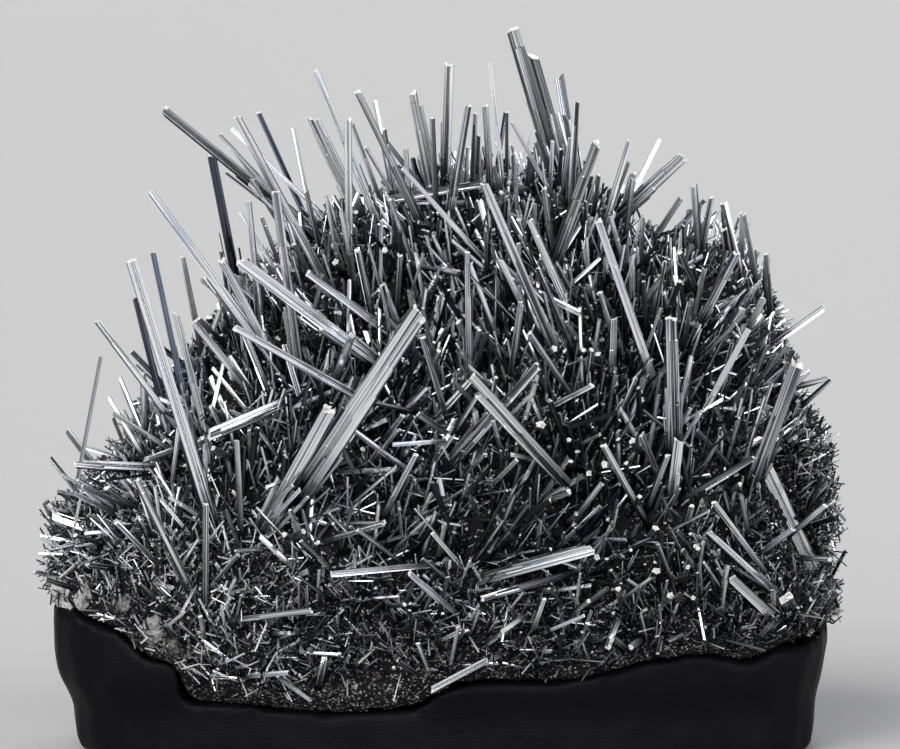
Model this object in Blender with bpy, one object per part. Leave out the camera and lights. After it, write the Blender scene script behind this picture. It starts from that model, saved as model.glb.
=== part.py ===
"""Stibnite crystal spray on its display stand.

A lumpy matrix of massive stibnite, about a metre wide, bristles with metallic crystals: long
grooved rods, blades and beams, with shorter ones grown fast to it between them. It rests in a
black cradle that is cut to the shape of its underside.

The frame is +X to the right, +Y away from the front and +Z up, in metres, with the origin on
the floor under the middle of the stand.
"""

import math
import random
from collections import namedtuple

import bmesh
import bpy
from mathutils import Matrix, Vector, noise
from mathutils.bvhtree import BVHTree
from mathutils.geometry import intersect_line_plane

MM = 0.001
GAP = 0.3 * MM  # clearance between two pieces that touch

# ---------------------------------------------------------------- driving dimensions
# The matrix: an upright dome, blunt at both ends, that leans back a little.
MATRIX_LEFT = -484 * MM
MATRIX_RIGHT = 488 * MM
MATRIX_FRONT = 238 * MM  # from the middle plane to the front of the foot
MATRIX_BACK = 222 * MM
MATRIX_WAIST_LEFT = 240 * MM  # height of the widest level, at either end
MATRIX_WAIST_RIGHT = 285 * MM
MATRIX_LEAN_BACK = 55 * MM
MATRIX_ROOT_DEPTH = 240 * MM  # how far the dome runs down past its seat before it is cut
END_BLUNTNESS = 3.0  # 2 is a true oval, and higher is squarer
SIDE_BLUNTNESS = 2.3
MATRIX_SIDES = 26  # facets round the dome
MATRIX_RINGS = 24  # facets along it, from end to end
LUMPS = ((125 * MM, 30 * MM), (48 * MM, 13 * MM))  # size and height of each order of lumps
LUMPS_ON_CREST = 0.45  # share of a lump's height where the surface doesn't face front or back

# Crest of the matrix, seen from the front: across and up, in millimetres.
CREST_LINE = (
    (-484, 240), (-468, 300), (-414, 345), (-364, 428), (-314, 480), (-257, 560), (-189, 630),
    (-120, 668), (-51, 692), (36, 712), (142, 730), (199, 688), (232, 670), (261, 630), (324, 645),
    (380, 628), (411, 575), (449, 452), (478, 372), (488, 285),
)

# Underside of the matrix and upper edge of the stand's front, in millimetres.
SEAT_LINE = (
    (-520, 186), (-484, 183), (-457, 182), (-430, 170), (-404, 165), (-380, 149), (-361, 129),
    (-322, 125), (-317, 77), (-251, 73), (-139, 62), (-26, 71), (-8, 87), (42, 105), (149, 103),
    (199, 113), (249, 127), (311, 137), (342, 132), (374, 122), (399, 130), (413, 139),
    (449, 139), (490, 158), (520, 160),
)

# The stand: outline rings from the floor up, as height, left, right, front and back.
STAND_RINGS = (
    (0, -457, 467, -206, 202), (58, -463, 470, -208, 204), (92, -482, 477, -220, 212),
    (125, -487, 484, -224, 216), (215, -488, 488, -226, 218),
)
STAND_SIDES = 28
STAND_BLUNTNESS = 3.2
STAND_EDGE = 5 * MM  # rounding of the edge that stands on the floor

# Grey rock nodules in the foot of the matrix: across, depth, up and radius, in millimetres.
NODULES = ((-468, -30, 205, 25), (-345, -150, 158, 32), (-398, -105, 182, 19), (-300, 150, 150, 34))

# Crystals are placed as they are sighted from the front: across and up are read on the upright
# plane through the middle of the object, by an eye that is far off and looks slightly down.
SIGHT_DISTANCE = 9000 * MM
SIGHT_PITCH = math.radians(5)
SIGHT_LEVEL = 463 * MM
EYE = Vector((0, -SIGHT_DISTANCE, SIGHT_LEVEL + SIGHT_DISTANCE * math.tan(SIGHT_PITCH)))

CREST_DEPTH = 58 * MM  # where a crystal is rooted whose foot is sighted above the crest
ROOT_LENGTH = 18 * MM  # length of a crystal inside the matrix
CLEARANCE = 1.5 * MM  # least distance between two crystals that aren't grown together
LEAN_STEP = 9 * MM  # change of lean from one try to the next
LEAN_TRIES = 24

# The broken end of a crystal, as shares of its width.
END_NARROWING = 0.86
STUB_END_NARROWING = 0.7
END_SLANT = 0.35
END_CHIP = 0.12

# Tip and foot are across and up in millimetres, width and thickness are the two sides of the
# crystal, and lean is how far its tip stands nearer the front than its foot. A crystal that is
# rooted at the back of the crest has behind, the distance of its foot behind CREST_DEPTH.
Crystal = namedtuple("Crystal", "tip foot width thickness lean form behind", defaults=(None,))
# A placed crystal: the two ends of its axis, in metres.
Placed = namedtuple("Placed", "root tip crystal")

# ---------------------------------------------------------------- the long crystals
LONG_CRYSTALS = {
    # crown
    "crown_blade": (
        Crystal((89, 898), (146, 716), 18, 13, 12, "blade"),
        Crystal((112, 866), (152, 716), 19, 12, 12, "blade"),
    ),
    "crown_rod": (Crystal((148, 834), (175, 712), 14, 12, -6, "rod", 30),),
    "crown_leaning_rod": (Crystal((169, 804), (162, 690), 10, 9, 10, "rod"),),
    "crown_side_rod": (Crystal((194, 751), (140, 604), 15, 13, 30, "rod"),),
    "right_shoulder_needle": (Crystal((235, 754), (206, 658), 8, 7, 10, "rod"),),
    "right_shoulder_rod": (Crystal((273, 758), (232, 672), 7, 6, -10, "rod", 35),),
    "right_shoulder_beam": (Crystal((301, 734), (224, 662), 18, 14, 26, "beam"),),
    # top
    "top_rod": (Crystal((11, 851), (5, 700), 13, 11, 16, "rod"),),
    "top_left_rod": (Crystal((-36, 815), (-10, 686), 12, 10, 26, "rod"),),
    "top_needle": (Crystal((61, 851), (77, 708), 6, 6, 8, "rod"),),
    "top_short_rod": (Crystal((34, 799), (14, 676), 10, 9, 34, "rod"),),
    "top_slanting_needle": (Crystal((89, 778), (131, 702), 6, 6, 30, "rod"),),
    "top_leaning_rod": (Crystal((-104, 816), (-29, 663), 10, 9, 24, "rod"),),
    "top_upright_rod": (Crystal((-116, 781), (-114, 618), 11, 10, 34, "rod"),),
    "top_crossing_needle": (Crystal((-48, 721), (58, 603), 7, 7, 55, "rod"),),
    "top_lying_bar": (Crystal((50, 701), (-51, 684), 11, 10, 14, "beam"),),
    "top_ledge_rod": (Crystal((54, 701), (140, 500), 12, 10, 68, "rod"),),
    # upper left
    "upper_left_beam": (Crystal((-343, 793), (-176, 668), 16, 14, 26, "beam"),),
    "upper_left_high_rod": (Crystal((-156, 844), (-80, 656), 9, 8, 14, "rod"),),
    "upper_left_twins": (
        Crystal((-165, 784), (-112, 678), 10, 9, 12, "rod"),
        Crystal((-155, 783), (-105, 678), 11, 10, 12, "rod"),
    ),
    "upper_left_needle": (Crystal((-261, 771), (-145, 662), 7, 6, -4, "rod"),),
    "upper_left_rod": (Crystal((-254, 785), (-145, 581), 12, 11, 44, "rod"),),
    "upper_left_far_rod": (Crystal((-228, 791), (-172, 660), 8, 7, -12, "rod", 34),),
    "upper_left_far_needle": (Crystal((-184, 770), (-170, 664), 6, 6, -14, "rod", 58),),
    "upper_left_dark_blade": (Crystal((-285, 734), (-251, 560), 14, 8, 6, "blade"),),
    "middle_left_long_rod": (Crystal((-361, 690), (-224, 500), 12, 10, 30, "rod"),),
    "middle_left_upright_rod": (Crystal((-240, 680), (-224, 519), 9, 8, 46, "rod"),),
    "middle_left_tall_rod": (Crystal((-206, 690), (-177, 470), 12, 10, 52, "rod"),),
    "middle_left_thick_rod": (Crystal((-273, 606), (-208, 481), 12, 10, 62, "rod"),),
    "middle_left_beam": (Crystal((-248, 603), (-86, 481), 17, 13, 84, "beam"),),
    "middle_left_slanting_rod": (Crystal((-166, 590), (-70, 519), 10, 9, 46, "rod"),),
    "middle_left_low_rod": (Crystal((-256, 521), (-111, 440), 10, 9, 78, "rod"),),
    "middle_left_short_rod": (Crystal((-309, 529), (-245, 450), 10, 8, 40, "rod"),),
    # left side
    "left_long_rod": (Crystal((-386, 605), (-286, 281), 15, 12, 64, "beam"),),
    "left_dark_rod": (Crystal((-381, 558), (-345, 410), 9, 8, -6, "rod"),),
    "left_back_rod": (Crystal((-359, 615), (-322, 440), 8, 7, -26, "rod"),),
    "left_inner_rod": (Crystal((-331, 539), (-295, 394), 9, 8, 34, "rod"),),
    "left_outer_rod": (Crystal((-429, 528), (-333, 400), 9, 8, 14, "rod"),),
    "left_upright_needle": (Crystal((-425, 485), (-461, 300), 6, 5, 24, "rod"),),
    "left_low_rod": (Crystal((-381, 330), (-308, 181), 10, 8, 42, "rod"),),
    "left_lying_blade": (Crystal((-291, 386), (-205, 423), 17, 9, 66, "blade"),),
    # middle
    "front_blade": (
        Crystal((-26, 540), (-174, 316), 27, 15, 130, "blade"),
        Crystal((-138, 422), (-224, 266), 21, 13, 66, "blade"),
    ),
    "centre_rods": (
        Crystal((36, 463), (155, 331), 13, 11, 76, "beam"),
        Crystal((46, 436), (140, 339), 9, 8, 70, "rod"),
    ),
    "centre_crossing_bar": (Crystal((120, 473), (18, 356), 14, 10, 30, "beam"),),
    "centre_upright_rod": (Crystal((33, 616), (35, 463), 8, 7, 44, "rod"),),
    # right side
    "right_crown_rod": (Crystal((111, 656), (158, 550), 11, 9, 46, "rod"),),
    "right_leaning_rod": (Crystal((196, 655), (268, 450), 11, 9, 56, "rod"),),
    "right_upright_beam": (Crystal((288, 530), (293, 369), 17, 13, 66, "beam"),),
    "right_upper_rod": (Crystal((369, 613), (331, 540), 12, 9, 34, "blade"),),
    "right_slanting_rod": (Crystal((384, 519), (326, 411), 9, 8, 44, "rod"),),
    "right_outer_rod": (Crystal((478, 546), (420, 505), 9, 8, 6, "rod"),),
    "right_thick_rod": (Crystal((445, 476), (398, 346), 20, 14, 40, "beam"),),
    "right_big_beam": (Crystal((405, 350), (482, 190), 21, 14, 74, "beam"),),
    "right_low_rod": (Crystal((336, 265), (421, 188), 9, 8, 44, "rod"),),
    "right_foot_rod": (Crystal((365, 206), (414, 160), 13, 9, 42, "blade"),),
    # bottom
    "bottom_lying_blade": (Crystal((189, 243), (61, 209), 15, 9, 52, "blade"),),
}

# ---------------------------------------------------------------- shorter crystals, fused
SHORT_CRYSTALS = (
    # crown and top
    Crystal((-11, 785), (-7, 664), 8, 7, 30, "stub"),
    Crystal((43, 791), (40, 692), 9, 8, 20, "stub"),
    Crystal((55, 800), (60, 704), 7, 7, 32, "stub"),
    Crystal((81, 792), (66, 735), 7, 7, -10, "stub"),
    Crystal((-83, 806), (-70, 725), 7, 7, -14, "stub"),
    Crystal((-76, 765), (-28, 704), 7, 7, -6, "stub"),
    Crystal((-44, 746), (-42, 700), 7, 7, 24, "stub"),
    Crystal((128, 696), (138, 625), 9, 8, 30, "stub"),
    Crystal((113, 744), (110, 706), 7, 7, 22, "stub"),
    Crystal((197, 713), (194, 680), 7, 7, 14, "stub"),
    Crystal((240, 708), (233, 640), 9, 8, 24, "stub"),
    # upper left and left
    Crystal((-276, 764), (-205, 680), 7, 7, -34, "stub"),
    Crystal((-236, 708), (-200, 640), 7, 7, 12, "stub"),
    Crystal((-323, 610), (-300, 490), 7, 7, 8, "stub"),
    Crystal((-184, 626), (-160, 580), 7, 7, 30, "stub"),
    Crystal((-245, 513), (-218, 443), 9, 8, 28, "stub"),
    Crystal((-411, 415), (-345, 371), 7, 7, 22, "stub"),
    Crystal((-459, 349), (-392, 342), 7, 6, 28, "stub"),
    Crystal((-450, 322), (-404, 300), 11, 8, 34, "stub"),
    Crystal((-408, 278), (-355, 223), 7, 7, 30, "stub"),
    Crystal((-294, 300), (-294, 194), 7, 6, 30, "stub"),
    Crystal((-256, 380), (-253, 290), 7, 7, 28, "stub"),
    Crystal((-372, 465), (-371, 395), 9, 8, 24, "stub"),
    # middle
    Crystal((-104, 619), (-88, 534), 9, 8, 36, "stub"),
    Crystal((-51, 613), (-54, 545), 7, 7, 36, "stub"),
    Crystal((-24, 510), (1, 425), 7, 7, 30, "stub"),
    Crystal((49, 520), (40, 485), 7, 7, 30, "stub"),
    Crystal((100, 555), (89, 469), 7, 7, 40, "stub"),
    Crystal((110, 515), (159, 440), 7, 7, 44, "stub"),
    Crystal((121, 596), (158, 505), 8, 7, 30, "stub"),
    Crystal((-110, 394), (-51, 348), 9, 8, 40, "stub"),
    Crystal((203, 374), (249, 288), 9, 8, 44, "stub"),
    Crystal((198, 566), (216, 500), 9, 8, 40, "stub"),
    Crystal((122, 402), (128, 385), 14, 9, 42, "stub"),
    # right
    Crystal((315, 700), (318, 625), 10, 9, 6, "stub"),
    Crystal((338, 686), (328, 628), 7, 7, 20, "stub"),
    Crystal((353, 679), (367, 610), 8, 7, -4, "stub"),
    Crystal((378, 665), (388, 605), 7, 7, 10, "stub"),
    Crystal((406, 614), (408, 560), 8, 7, 4, "stub"),
    Crystal((393, 359), (322, 315), 10, 8, 40, "stub"),
    Crystal((341, 303), (389, 234), 8, 7, 46, "stub"),
    Crystal((432, 182), (452, 160), 16, 9, 26, "stub"),
    Crystal((483, 458), (452, 448), 7, 6, 4, "stub"),
    # bottom
    Crystal((-164, 166), (-262, 153), 9, 7, 28, "stub"),
    Crystal((51, 181), (146, 206), 9, 8, 34, "stub"),
    Crystal((-9, 84), (66, 124), 10, 8, 16, "stub"),
    Crystal((-40, 214), (12, 166), 8, 7, 36, "stub"),
    Crystal((-105, 268), (-62, 234), 8, 7, 34, "stub"),
    Crystal((-71, 275), (-118, 260), 8, 7, 40, "stub"),
    Crystal((22, 146), (14, 108), 8, 7, 18, "stub"),
)

# Loose fill of short crystals all over the matrix, its back included.
FILL_COUNT = 185
FILL_SEED = 5
FILL_LENGTH = (34 * MM, 78 * MM)
FILL_WIDTH = (5 * MM, 9 * MM)
FILL_ABOVE_SEAT = 26 * MM
FILL_SPACING = 4 * MM
FILL_FLATNESS = 0.8  # thickness as a share of the width
FILL_REACH = 0.95  # share of the matrix's length that carries them
# How far each is drawn outwards, astray and upwards.
FILL_OUTWARDS = 0.9
FILL_ASTRAY = 0.6
FILL_UPWARDS = 0.35

# Levels that are well clear of the whole object, for the blocks that cut the seat.
ABOVE_ALL = 1000 * MM
BELOW_ALL = -200 * MM


# ---------------------------------------------------------------- helpers
def height_on(line, x):
    """Height in metres of a line of (across, up) points in millimetres, at x in metres."""
    across = x / MM
    for (x0, z0), (x1, z1) in zip(line, line[1:]):
        if across <= x1:
            share = max(0.0, (across - x0) / (x1 - x0))
            return (z0 + (z1 - z0) * share) * MM
    return line[-1][1] * MM


def rounded(value, bluntness):
    """A cosine or sine bent so that its circle becomes a blunter, squarer oval."""
    return math.copysign(abs(value) ** (2.0 / bluntness), value)


def sighted(across, up, depth):
    """The point at that depth which the eye sees at (across, up) on the middle plane."""
    on_plane = Vector((across, 0, up))
    return EYE + (on_plane - EYE) * ((SIGHT_DISTANCE + depth) / SIGHT_DISTANCE)


def new_object(name, bm, finish):
    """Puts the finished mesh into an object of its own, in flat triangles."""
    bmesh.ops.recalc_face_normals(bm, faces=bm.faces)
    bmesh.ops.triangulate(bm, faces=bm.faces)
    mesh = bpy.data.meshes.new(name)
    bm.to_mesh(mesh)
    bm.free()
    mesh.materials.append(finish)
    obj = bpy.data.objects.new(name, mesh)
    bpy.context.collection.objects.link(obj)
    return obj


def combine(obj, other, operation, overlapping=False):
    """Applies a Boolean with the other object, which is used up."""
    modifier = obj.modifiers.new("combine", "BOOLEAN")
    modifier.operation = operation
    modifier.solver = "EXACT"
    modifier.use_self = overlapping
    modifier.object = other
    evaluated = obj.evaluated_get(bpy.context.evaluated_depsgraph_get())
    mesh = bpy.data.meshes.new_from_object(evaluated)
    obj.modifiers.clear()
    obj.data = mesh
    bpy.data.objects.remove(other)


def material(name, colour, roughness, metallic):
    """A plain Principled material."""
    made = bpy.data.materials.new(name)
    made.use_nodes = True
    shader = made.node_tree.nodes["Principled BSDF"]
    shader.inputs["Base Color"].default_value = (*colour, 1)
    shader.inputs["Roughness"].default_value = roughness
    shader.inputs["Metallic"].default_value = metallic
    return made


# ---------------------------------------------------------------- crystal shapes
def section_corners(form):
    """Corners of a crystal's cross-section, for a width and a thickness of 1."""
    if form == "stub":
        return [(-0.5, 0.0), (-0.12, -0.5), (0.5, -0.08), (0.1, 0.5)]
    if form == "rod":
        return [(-0.5, 0.02), (-0.3, -0.45), (0.24, -0.5), (0.5, -0.06), (0.3, 0.45), (-0.24, 0.5)]
    if form == "blade":
        front = [(-0.5, 0.0), (-0.34, -0.42), (-0.12, -0.5), (-0.02, -0.36), (0.2, -0.48), (0.38, -0.36)]
        return front + [(0.5, 0.02), (0.26, 0.42), (-0.24, 0.46)]
    front = [(-0.5, -0.12), (-0.38, -0.44), (-0.18, -0.5), (-0.12, -0.38), (0.02, -0.5), (0.22, -0.48)]
    return front + [(0.28, -0.38), (0.44, -0.4), (0.5, 0.08), (0.26, 0.46), (-0.3, 0.42)]


def add_crystal(bm, placed, grow=0.0):
    """Adds one prism to the mesh: its section is extruded from root to tip, where it narrows
    a little and is broken off at a slant. It may be grown all round, to cut a socket."""
    crystal = placed.crystal
    axis = placed.tip - placed.root
    length = axis.length + 2 * grow
    wide = crystal.width * MM + 2 * grow
    thick = crystal.thickness * MM + 2 * grow
    corners = [bm.verts.new((u * wide, v * thick, 0)) for u, v in section_corners(crystal.form)]
    foot = bm.faces.new(corners)
    walls = bmesh.ops.extrude_face_region(bm, geom=[foot])["geom"]
    end = [v for v in walls if isinstance(v, bmesh.types.BMVert)]
    narrow = STUB_END_NARROWING if crystal.form == "stub" else END_NARROWING
    slant = END_SLANT if crystal.tip[0] < crystal.foot[0] else -END_SLANT
    for vert in end:
        vert.co.x *= narrow
        vert.co.y *= narrow
        vert.co.z = length + slant * vert.co.x
    # the broad side is turned to the front
    along = axis.normalized()
    sideways = along.cross(Vector((0, 1, 0))).normalized()
    turn = Matrix((sideways, sideways.cross(along) * -1, along)).transposed().to_4x4()
    place = Matrix.Translation(placed.root - along * grow) @ turn
    bmesh.ops.transform(bm, matrix=place, verts=corners + end)
    return end


def crystal_object(name, placed_group, finish):
    """One crystal, or several that have grown together, as one solid."""
    whole = None
    for placed in placed_group:
        bm = bmesh.new()
        end = add_crystal(bm, placed)
        rim = [e for e in bm.edges if all(v in end for v in e.verts)]
        chipped = [e for e in rim if e.verts[0].co.y + e.verts[1].co.y < 2 * placed.tip.y]
        bmesh.ops.bevel(
            bm, geom=chipped, offset=END_CHIP * placed.crystal.width * MM, segments=1,
            profile=0.5, affect="EDGES", material=-1,
        )
        obj = new_object(name, bm, finish)
        if whole:
            combine(whole, obj, "UNION")
        else:
            whole = obj
    return whole


# ---------------------------------------------------------------- where crystals stand
def distance_between(first, second):
    """Least distance between the axes of two placed crystals."""
    d1 = first.tip - first.root
    d2 = second.tip - second.root
    r = first.root - second.root
    a, e, f = d1.dot(d1), d2.dot(d2), d2.dot(r)
    b, c = d1.dot(d2), d1.dot(r)
    spread = a * e - b * b  # nothing where the two are parallel
    s = min(1.0, max(0.0, (b * f - c * e) / spread)) if spread > 0 else 0.0
    t = (b * s + f) / e
    if t < 0 or t > 1:
        t = min(1.0, max(0.0, t))
        s = min(1.0, max(0.0, (b * t - c) / a))
    return (first.root + d1 * s - second.root - d2 * t).length


def is_clear(candidate, others, spare=CLEARANCE):
    """True where the crystal keeps its distance from all the others."""
    for other in others:
        radii = (candidate.crystal.width + other.crystal.width) * 0.5 * MM
        if distance_between(candidate, other) < radii + spare:
            return False
    return True


def foot_point(rock, crystal):
    """Where the foot meets the matrix on the line of sight, or the crest next to that line."""
    across, up = crystal.foot[0] * MM, crystal.foot[1] * MM
    ray = (sighted(across, up, 0) - EYE).normalized()
    hit = rock.ray_cast(EYE, ray)[0]
    if hit and crystal.behind is None:
        return hit
    behind = (crystal.behind or 0) * MM
    return rock.find_nearest(sighted(across, up, CREST_DEPTH + behind))[0]


def stand_crystal(crystal, foot, lean):
    """Roots the crystal at its foot, with its tip at the given lean."""
    tip = sighted(crystal.tip[0] * MM, crystal.tip[1] * MM, foot.y - lean)
    root = foot - (tip - foot).normalized() * ROOT_LENGTH
    return Placed(root, tip, crystal)


def settle(rock, crystal, others):
    """Stands the crystal at its own lean, or the nearest lean at which it clears the others."""
    foot = foot_point(rock, crystal)
    for attempt in range(LEAN_TRIES):
        step = (attempt + 1) // 2 * (1 if attempt % 2 else -1)
        placed = stand_crystal(crystal, foot, crystal.lean * MM + step * LEAN_STEP)
        if is_clear(placed, others):
            return placed
    raise ValueError(f"no lean is clear of the other crystals: {crystal}")


def grow_on(crystal, first):
    """Stands a crystal in the same leaning plane as the one that it has grown together with."""
    normal = (first.tip - first.root).cross(Vector((1, 0, 0)))
    ends = []
    for across, up in (crystal.foot, crystal.tip):
        ends.append(intersect_line_plane(EYE, Vector((across, 0, up)) * MM, first.root, normal))
    foot, tip = ends
    return Placed(foot - (tip - foot).normalized() * ROOT_LENGTH, tip, crystal)


# ---------------------------------------------------------------- matrix and stand
def matrix_mesh():
    """The dome of the matrix: a sphere with its poles at the two ends, drawn out ring by ring
    to the crest line, leaned back and roughened into lumps."""
    bm = bmesh.new()
    turned = Matrix.Rotation(math.radians(90), 4, "Y")
    bmesh.ops.create_uvsphere(
        bm, u_segments=MATRIX_SIDES, v_segments=MATRIX_RINGS, radius=1, matrix=turned
    )
    middle = (MATRIX_LEFT + MATRIX_RIGHT) / 2
    half_length = (MATRIX_RIGHT - MATRIX_LEFT) / 2
    for vert in bm.verts:
        share = vert.co.x
        around = math.atan2(vert.co.z, vert.co.y)
        x = middle + half_length * share
        waist = MATRIX_WAIST_LEFT + (MATRIX_WAIST_RIGHT - MATRIX_WAIST_LEFT) * (share + 1) / 2
        girth = max(0.0, 1 - abs(share) ** END_BLUNTNESS) ** (1 / END_BLUNTNESS)
        reach = MATRIX_BACK if math.cos(around) > 0 else MATRIX_FRONT
        rise = rounded(math.sin(around), SIDE_BLUNTNESS)
        crest = height_on(CREST_LINE, x)
        sole = waist - (waist - height_on(SEAT_LINE, x) + MATRIX_ROOT_DEPTH) * girth
        z = waist + (crest - waist) * rise if rise > 0 else waist + (waist - sole) * rise
        y = reach * girth * rounded(math.cos(around), SIDE_BLUNTNESS)
        y += MATRIX_LEAN_BACK * max(0.0, rise) * girth
        vert.co = (x, y, z)
    bm.normal_update()
    for vert in bm.verts:
        lump = sum(height * noise.noise(vert.co / size) for size, height in LUMPS)
        share = LUMPS_ON_CREST + (1 - LUMPS_ON_CREST) * abs(vert.normal.y)
        vert.co += vert.normal * lump * share
    return bm


def seat_block(name, up_to, shift, finish):
    """A block that reaches from the seat line up or down to a level, right through in depth."""
    bm = bmesh.new()
    reach = MATRIX_FRONT + MATRIX_BACK
    edge = [bm.verts.new((x * MM, -reach, z * MM + shift)) for x, z in SEAT_LINE]
    edge.append(bm.verts.new((SEAT_LINE[-1][0] * MM, -reach, up_to)))
    edge.append(bm.verts.new((SEAT_LINE[0][0] * MM, -reach, up_to)))
    side = bm.faces.new(edge)
    moved = bmesh.ops.extrude_face_region(bm, geom=[side])["geom"]
    far = [v for v in moved if isinstance(v, bmesh.types.BMVert)]
    bmesh.ops.translate(bm, vec=(0, 2 * reach, 0), verts=far)
    return new_object(name, bm, finish)


def nodules_object(finish):
    """The rounded grey nodules, as coarse balls."""
    bm = bmesh.new()
    for x, y, z, radius in NODULES:
        place = Matrix.Translation(Vector((x, y, z)) * MM)
        bmesh.ops.create_icosphere(bm, subdivisions=2, radius=radius * MM, matrix=place)
    return new_object("nodules", bm, finish)


def fill_crystals(rock, others):
    """Short crystals scattered over the matrix, pointing outwards and mostly upwards."""
    rng = random.Random(FILL_SEED)
    placed = []
    for _ in range(FILL_COUNT):
        x = rng.uniform(MATRIX_LEFT, MATRIX_RIGHT) * FILL_REACH
        around = rng.uniform(0, 2 * math.pi)
        waist = Vector((x, 0, MATRIX_WAIST_LEFT))
        outwards = Vector((0, math.cos(around), math.sin(around)))
        hit, normal, _, _ = rock.ray_cast(waist + outwards, -outwards)
        stray = Vector((rng.uniform(-1, 1), rng.uniform(-1, 1), rng.uniform(-0.6, 1)))
        length = rng.uniform(*FILL_LENGTH)
        width = rng.uniform(*FILL_WIDTH) / MM
        if hit is None or hit.z < height_on(SEAT_LINE, hit.x) + FILL_ABOVE_SEAT:
            continue
        upwards = Vector((0, 0, FILL_UPWARDS))
        along = (normal * FILL_OUTWARDS + stray * FILL_ASTRAY + upwards).normalized()
        tip = hit + along * length
        crystal = Crystal((tip.x, tip.z), (hit.x, hit.z), width, width * FILL_FLATNESS, 0, "stub")
        candidate = Placed(hit - along * ROOT_LENGTH, tip, crystal)
        if is_clear(candidate, others + placed, FILL_SPACING):
            placed.append(candidate)
    return placed


def stand_object(finish):
    """The cradle: blunt oval rings bridged from the floor up, with the seat cut out of it."""
    bm = bmesh.new()
    rings = []
    for level, left, right, front, back in STAND_RINGS:
        ring = bmesh.ops.create_circle(bm, cap_ends=False, segments=STAND_SIDES, radius=1)["verts"]
        for vert in ring:
            u = rounded(vert.co.x, STAND_BLUNTNESS)
            v = rounded(vert.co.y, STAND_BLUNTNESS)
            x = (left + right) / 2 + u * (right - left) / 2
            y = (front + back) / 2 + v * (back - front) / 2
            vert.co = Vector((x, y, level)) * MM
        rings.append(ring)
    for lower, upper in zip(rings, rings[1:]):
        edges = [e for e in bm.edges if set(e.verts) <= set(lower) or set(e.verts) <= set(upper)]
        bmesh.ops.bridge_loops(bm, edges=edges)
    floor_edge = [e for e in bm.edges if set(e.verts) <= set(rings[0])]
    bm.faces.new(rings[0])
    bm.faces.new(rings[-1])
    bmesh.ops.recalc_face_normals(bm, faces=bm.faces)
    bmesh.ops.bevel(
        bm, geom=floor_edge, offset=STAND_EDGE, segments=2, profile=0.5, affect="EDGES", material=-1
    )
    stand = new_object("stand", bm, finish)
    above = seat_block("above_seat", ABOVE_ALL, -GAP, finish)
    combine(stand, above, "DIFFERENCE")
    return stand


def matrix_object(rock_bm, long_placed, short_placed, finish):
    """The matrix with the short crystals fused on, its seat cut flat below and a close socket
    cut for each long crystal."""
    matrix = new_object("matrix", rock_bm, finish)
    combine(matrix, nodules_object(finish), "UNION")
    bm = bmesh.new()
    for placed in short_placed:
        add_crystal(bm, placed)
    combine(matrix, new_object("short_crystals", bm, finish), "UNION", overlapping=True)
    combine(matrix, seat_block("below_seat", BELOW_ALL, 0, finish), "DIFFERENCE")
    for group in long_placed.values():
        for placed in group:
            bm = bmesh.new()
            add_crystal(bm, placed, grow=GAP)
            combine(matrix, new_object("socket", bm, finish), "DIFFERENCE")
    return matrix


# ---------------------------------------------------------------- build
for old in list(bpy.data.objects):
    bpy.data.objects.remove(old, do_unlink=True)

silver = material("stibnite crystal", (0.62, 0.63, 0.66), 0.28, 1.0)
massive = material("massive stibnite", (0.2, 0.2, 0.21), 0.6, 0.6)
black = material("stand black", (0.012, 0.012, 0.015), 0.55, 0.0)

rock_bm = matrix_mesh()
rock_tree = BVHTree.FromBMesh(rock_bm)

standing = []
long_placed = {}
for name, group in LONG_CRYSTALS.items():
    first = settle(rock_tree, group[0], standing)
    long_placed[name] = [first] + [grow_on(crystal, first) for crystal in group[1:]]
    standing += long_placed[name]

short_placed = []
for crystal in SHORT_CRYSTALS:
    short_placed.append(settle(rock_tree, crystal, standing + short_placed))
short_placed += fill_crystals(rock_tree, standing + short_placed)

stand_object(black)
matrix_object(rock_bm, long_placed, short_placed, massive)
for name, group in long_placed.items():
    crystal_object(name, group, silver)
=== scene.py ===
"""Looks of the stibnite crystal spray on its stand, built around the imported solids.

The frame is that of the solids: +X to the right, +Y away from the front and +Z up, in metres.
"""

import math
import random

import bmesh
import bpy
import numpy as np
from mathutils import Matrix, Vector, noise
from mathutils.bvhtree import BVHTree


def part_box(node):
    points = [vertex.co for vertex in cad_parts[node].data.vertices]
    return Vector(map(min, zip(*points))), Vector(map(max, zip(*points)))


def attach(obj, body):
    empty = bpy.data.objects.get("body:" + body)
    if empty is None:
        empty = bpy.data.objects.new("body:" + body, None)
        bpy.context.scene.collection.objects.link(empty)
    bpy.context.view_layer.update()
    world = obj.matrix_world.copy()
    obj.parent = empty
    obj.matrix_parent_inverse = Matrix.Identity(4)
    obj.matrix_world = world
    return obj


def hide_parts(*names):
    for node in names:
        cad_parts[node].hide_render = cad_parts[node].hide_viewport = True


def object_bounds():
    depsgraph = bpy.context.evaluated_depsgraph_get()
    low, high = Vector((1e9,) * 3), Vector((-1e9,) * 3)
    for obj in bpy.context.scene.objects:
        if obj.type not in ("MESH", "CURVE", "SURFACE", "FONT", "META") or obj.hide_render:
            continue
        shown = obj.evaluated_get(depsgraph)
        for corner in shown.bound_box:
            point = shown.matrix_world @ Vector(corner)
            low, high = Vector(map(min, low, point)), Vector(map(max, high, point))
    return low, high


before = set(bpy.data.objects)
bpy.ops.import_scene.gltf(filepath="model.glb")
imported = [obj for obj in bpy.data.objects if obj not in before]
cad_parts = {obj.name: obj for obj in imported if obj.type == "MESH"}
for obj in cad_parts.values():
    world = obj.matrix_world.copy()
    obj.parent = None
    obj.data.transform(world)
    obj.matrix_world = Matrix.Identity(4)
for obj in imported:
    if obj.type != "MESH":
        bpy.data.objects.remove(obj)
cad_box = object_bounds()
MM = 0.001

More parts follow.
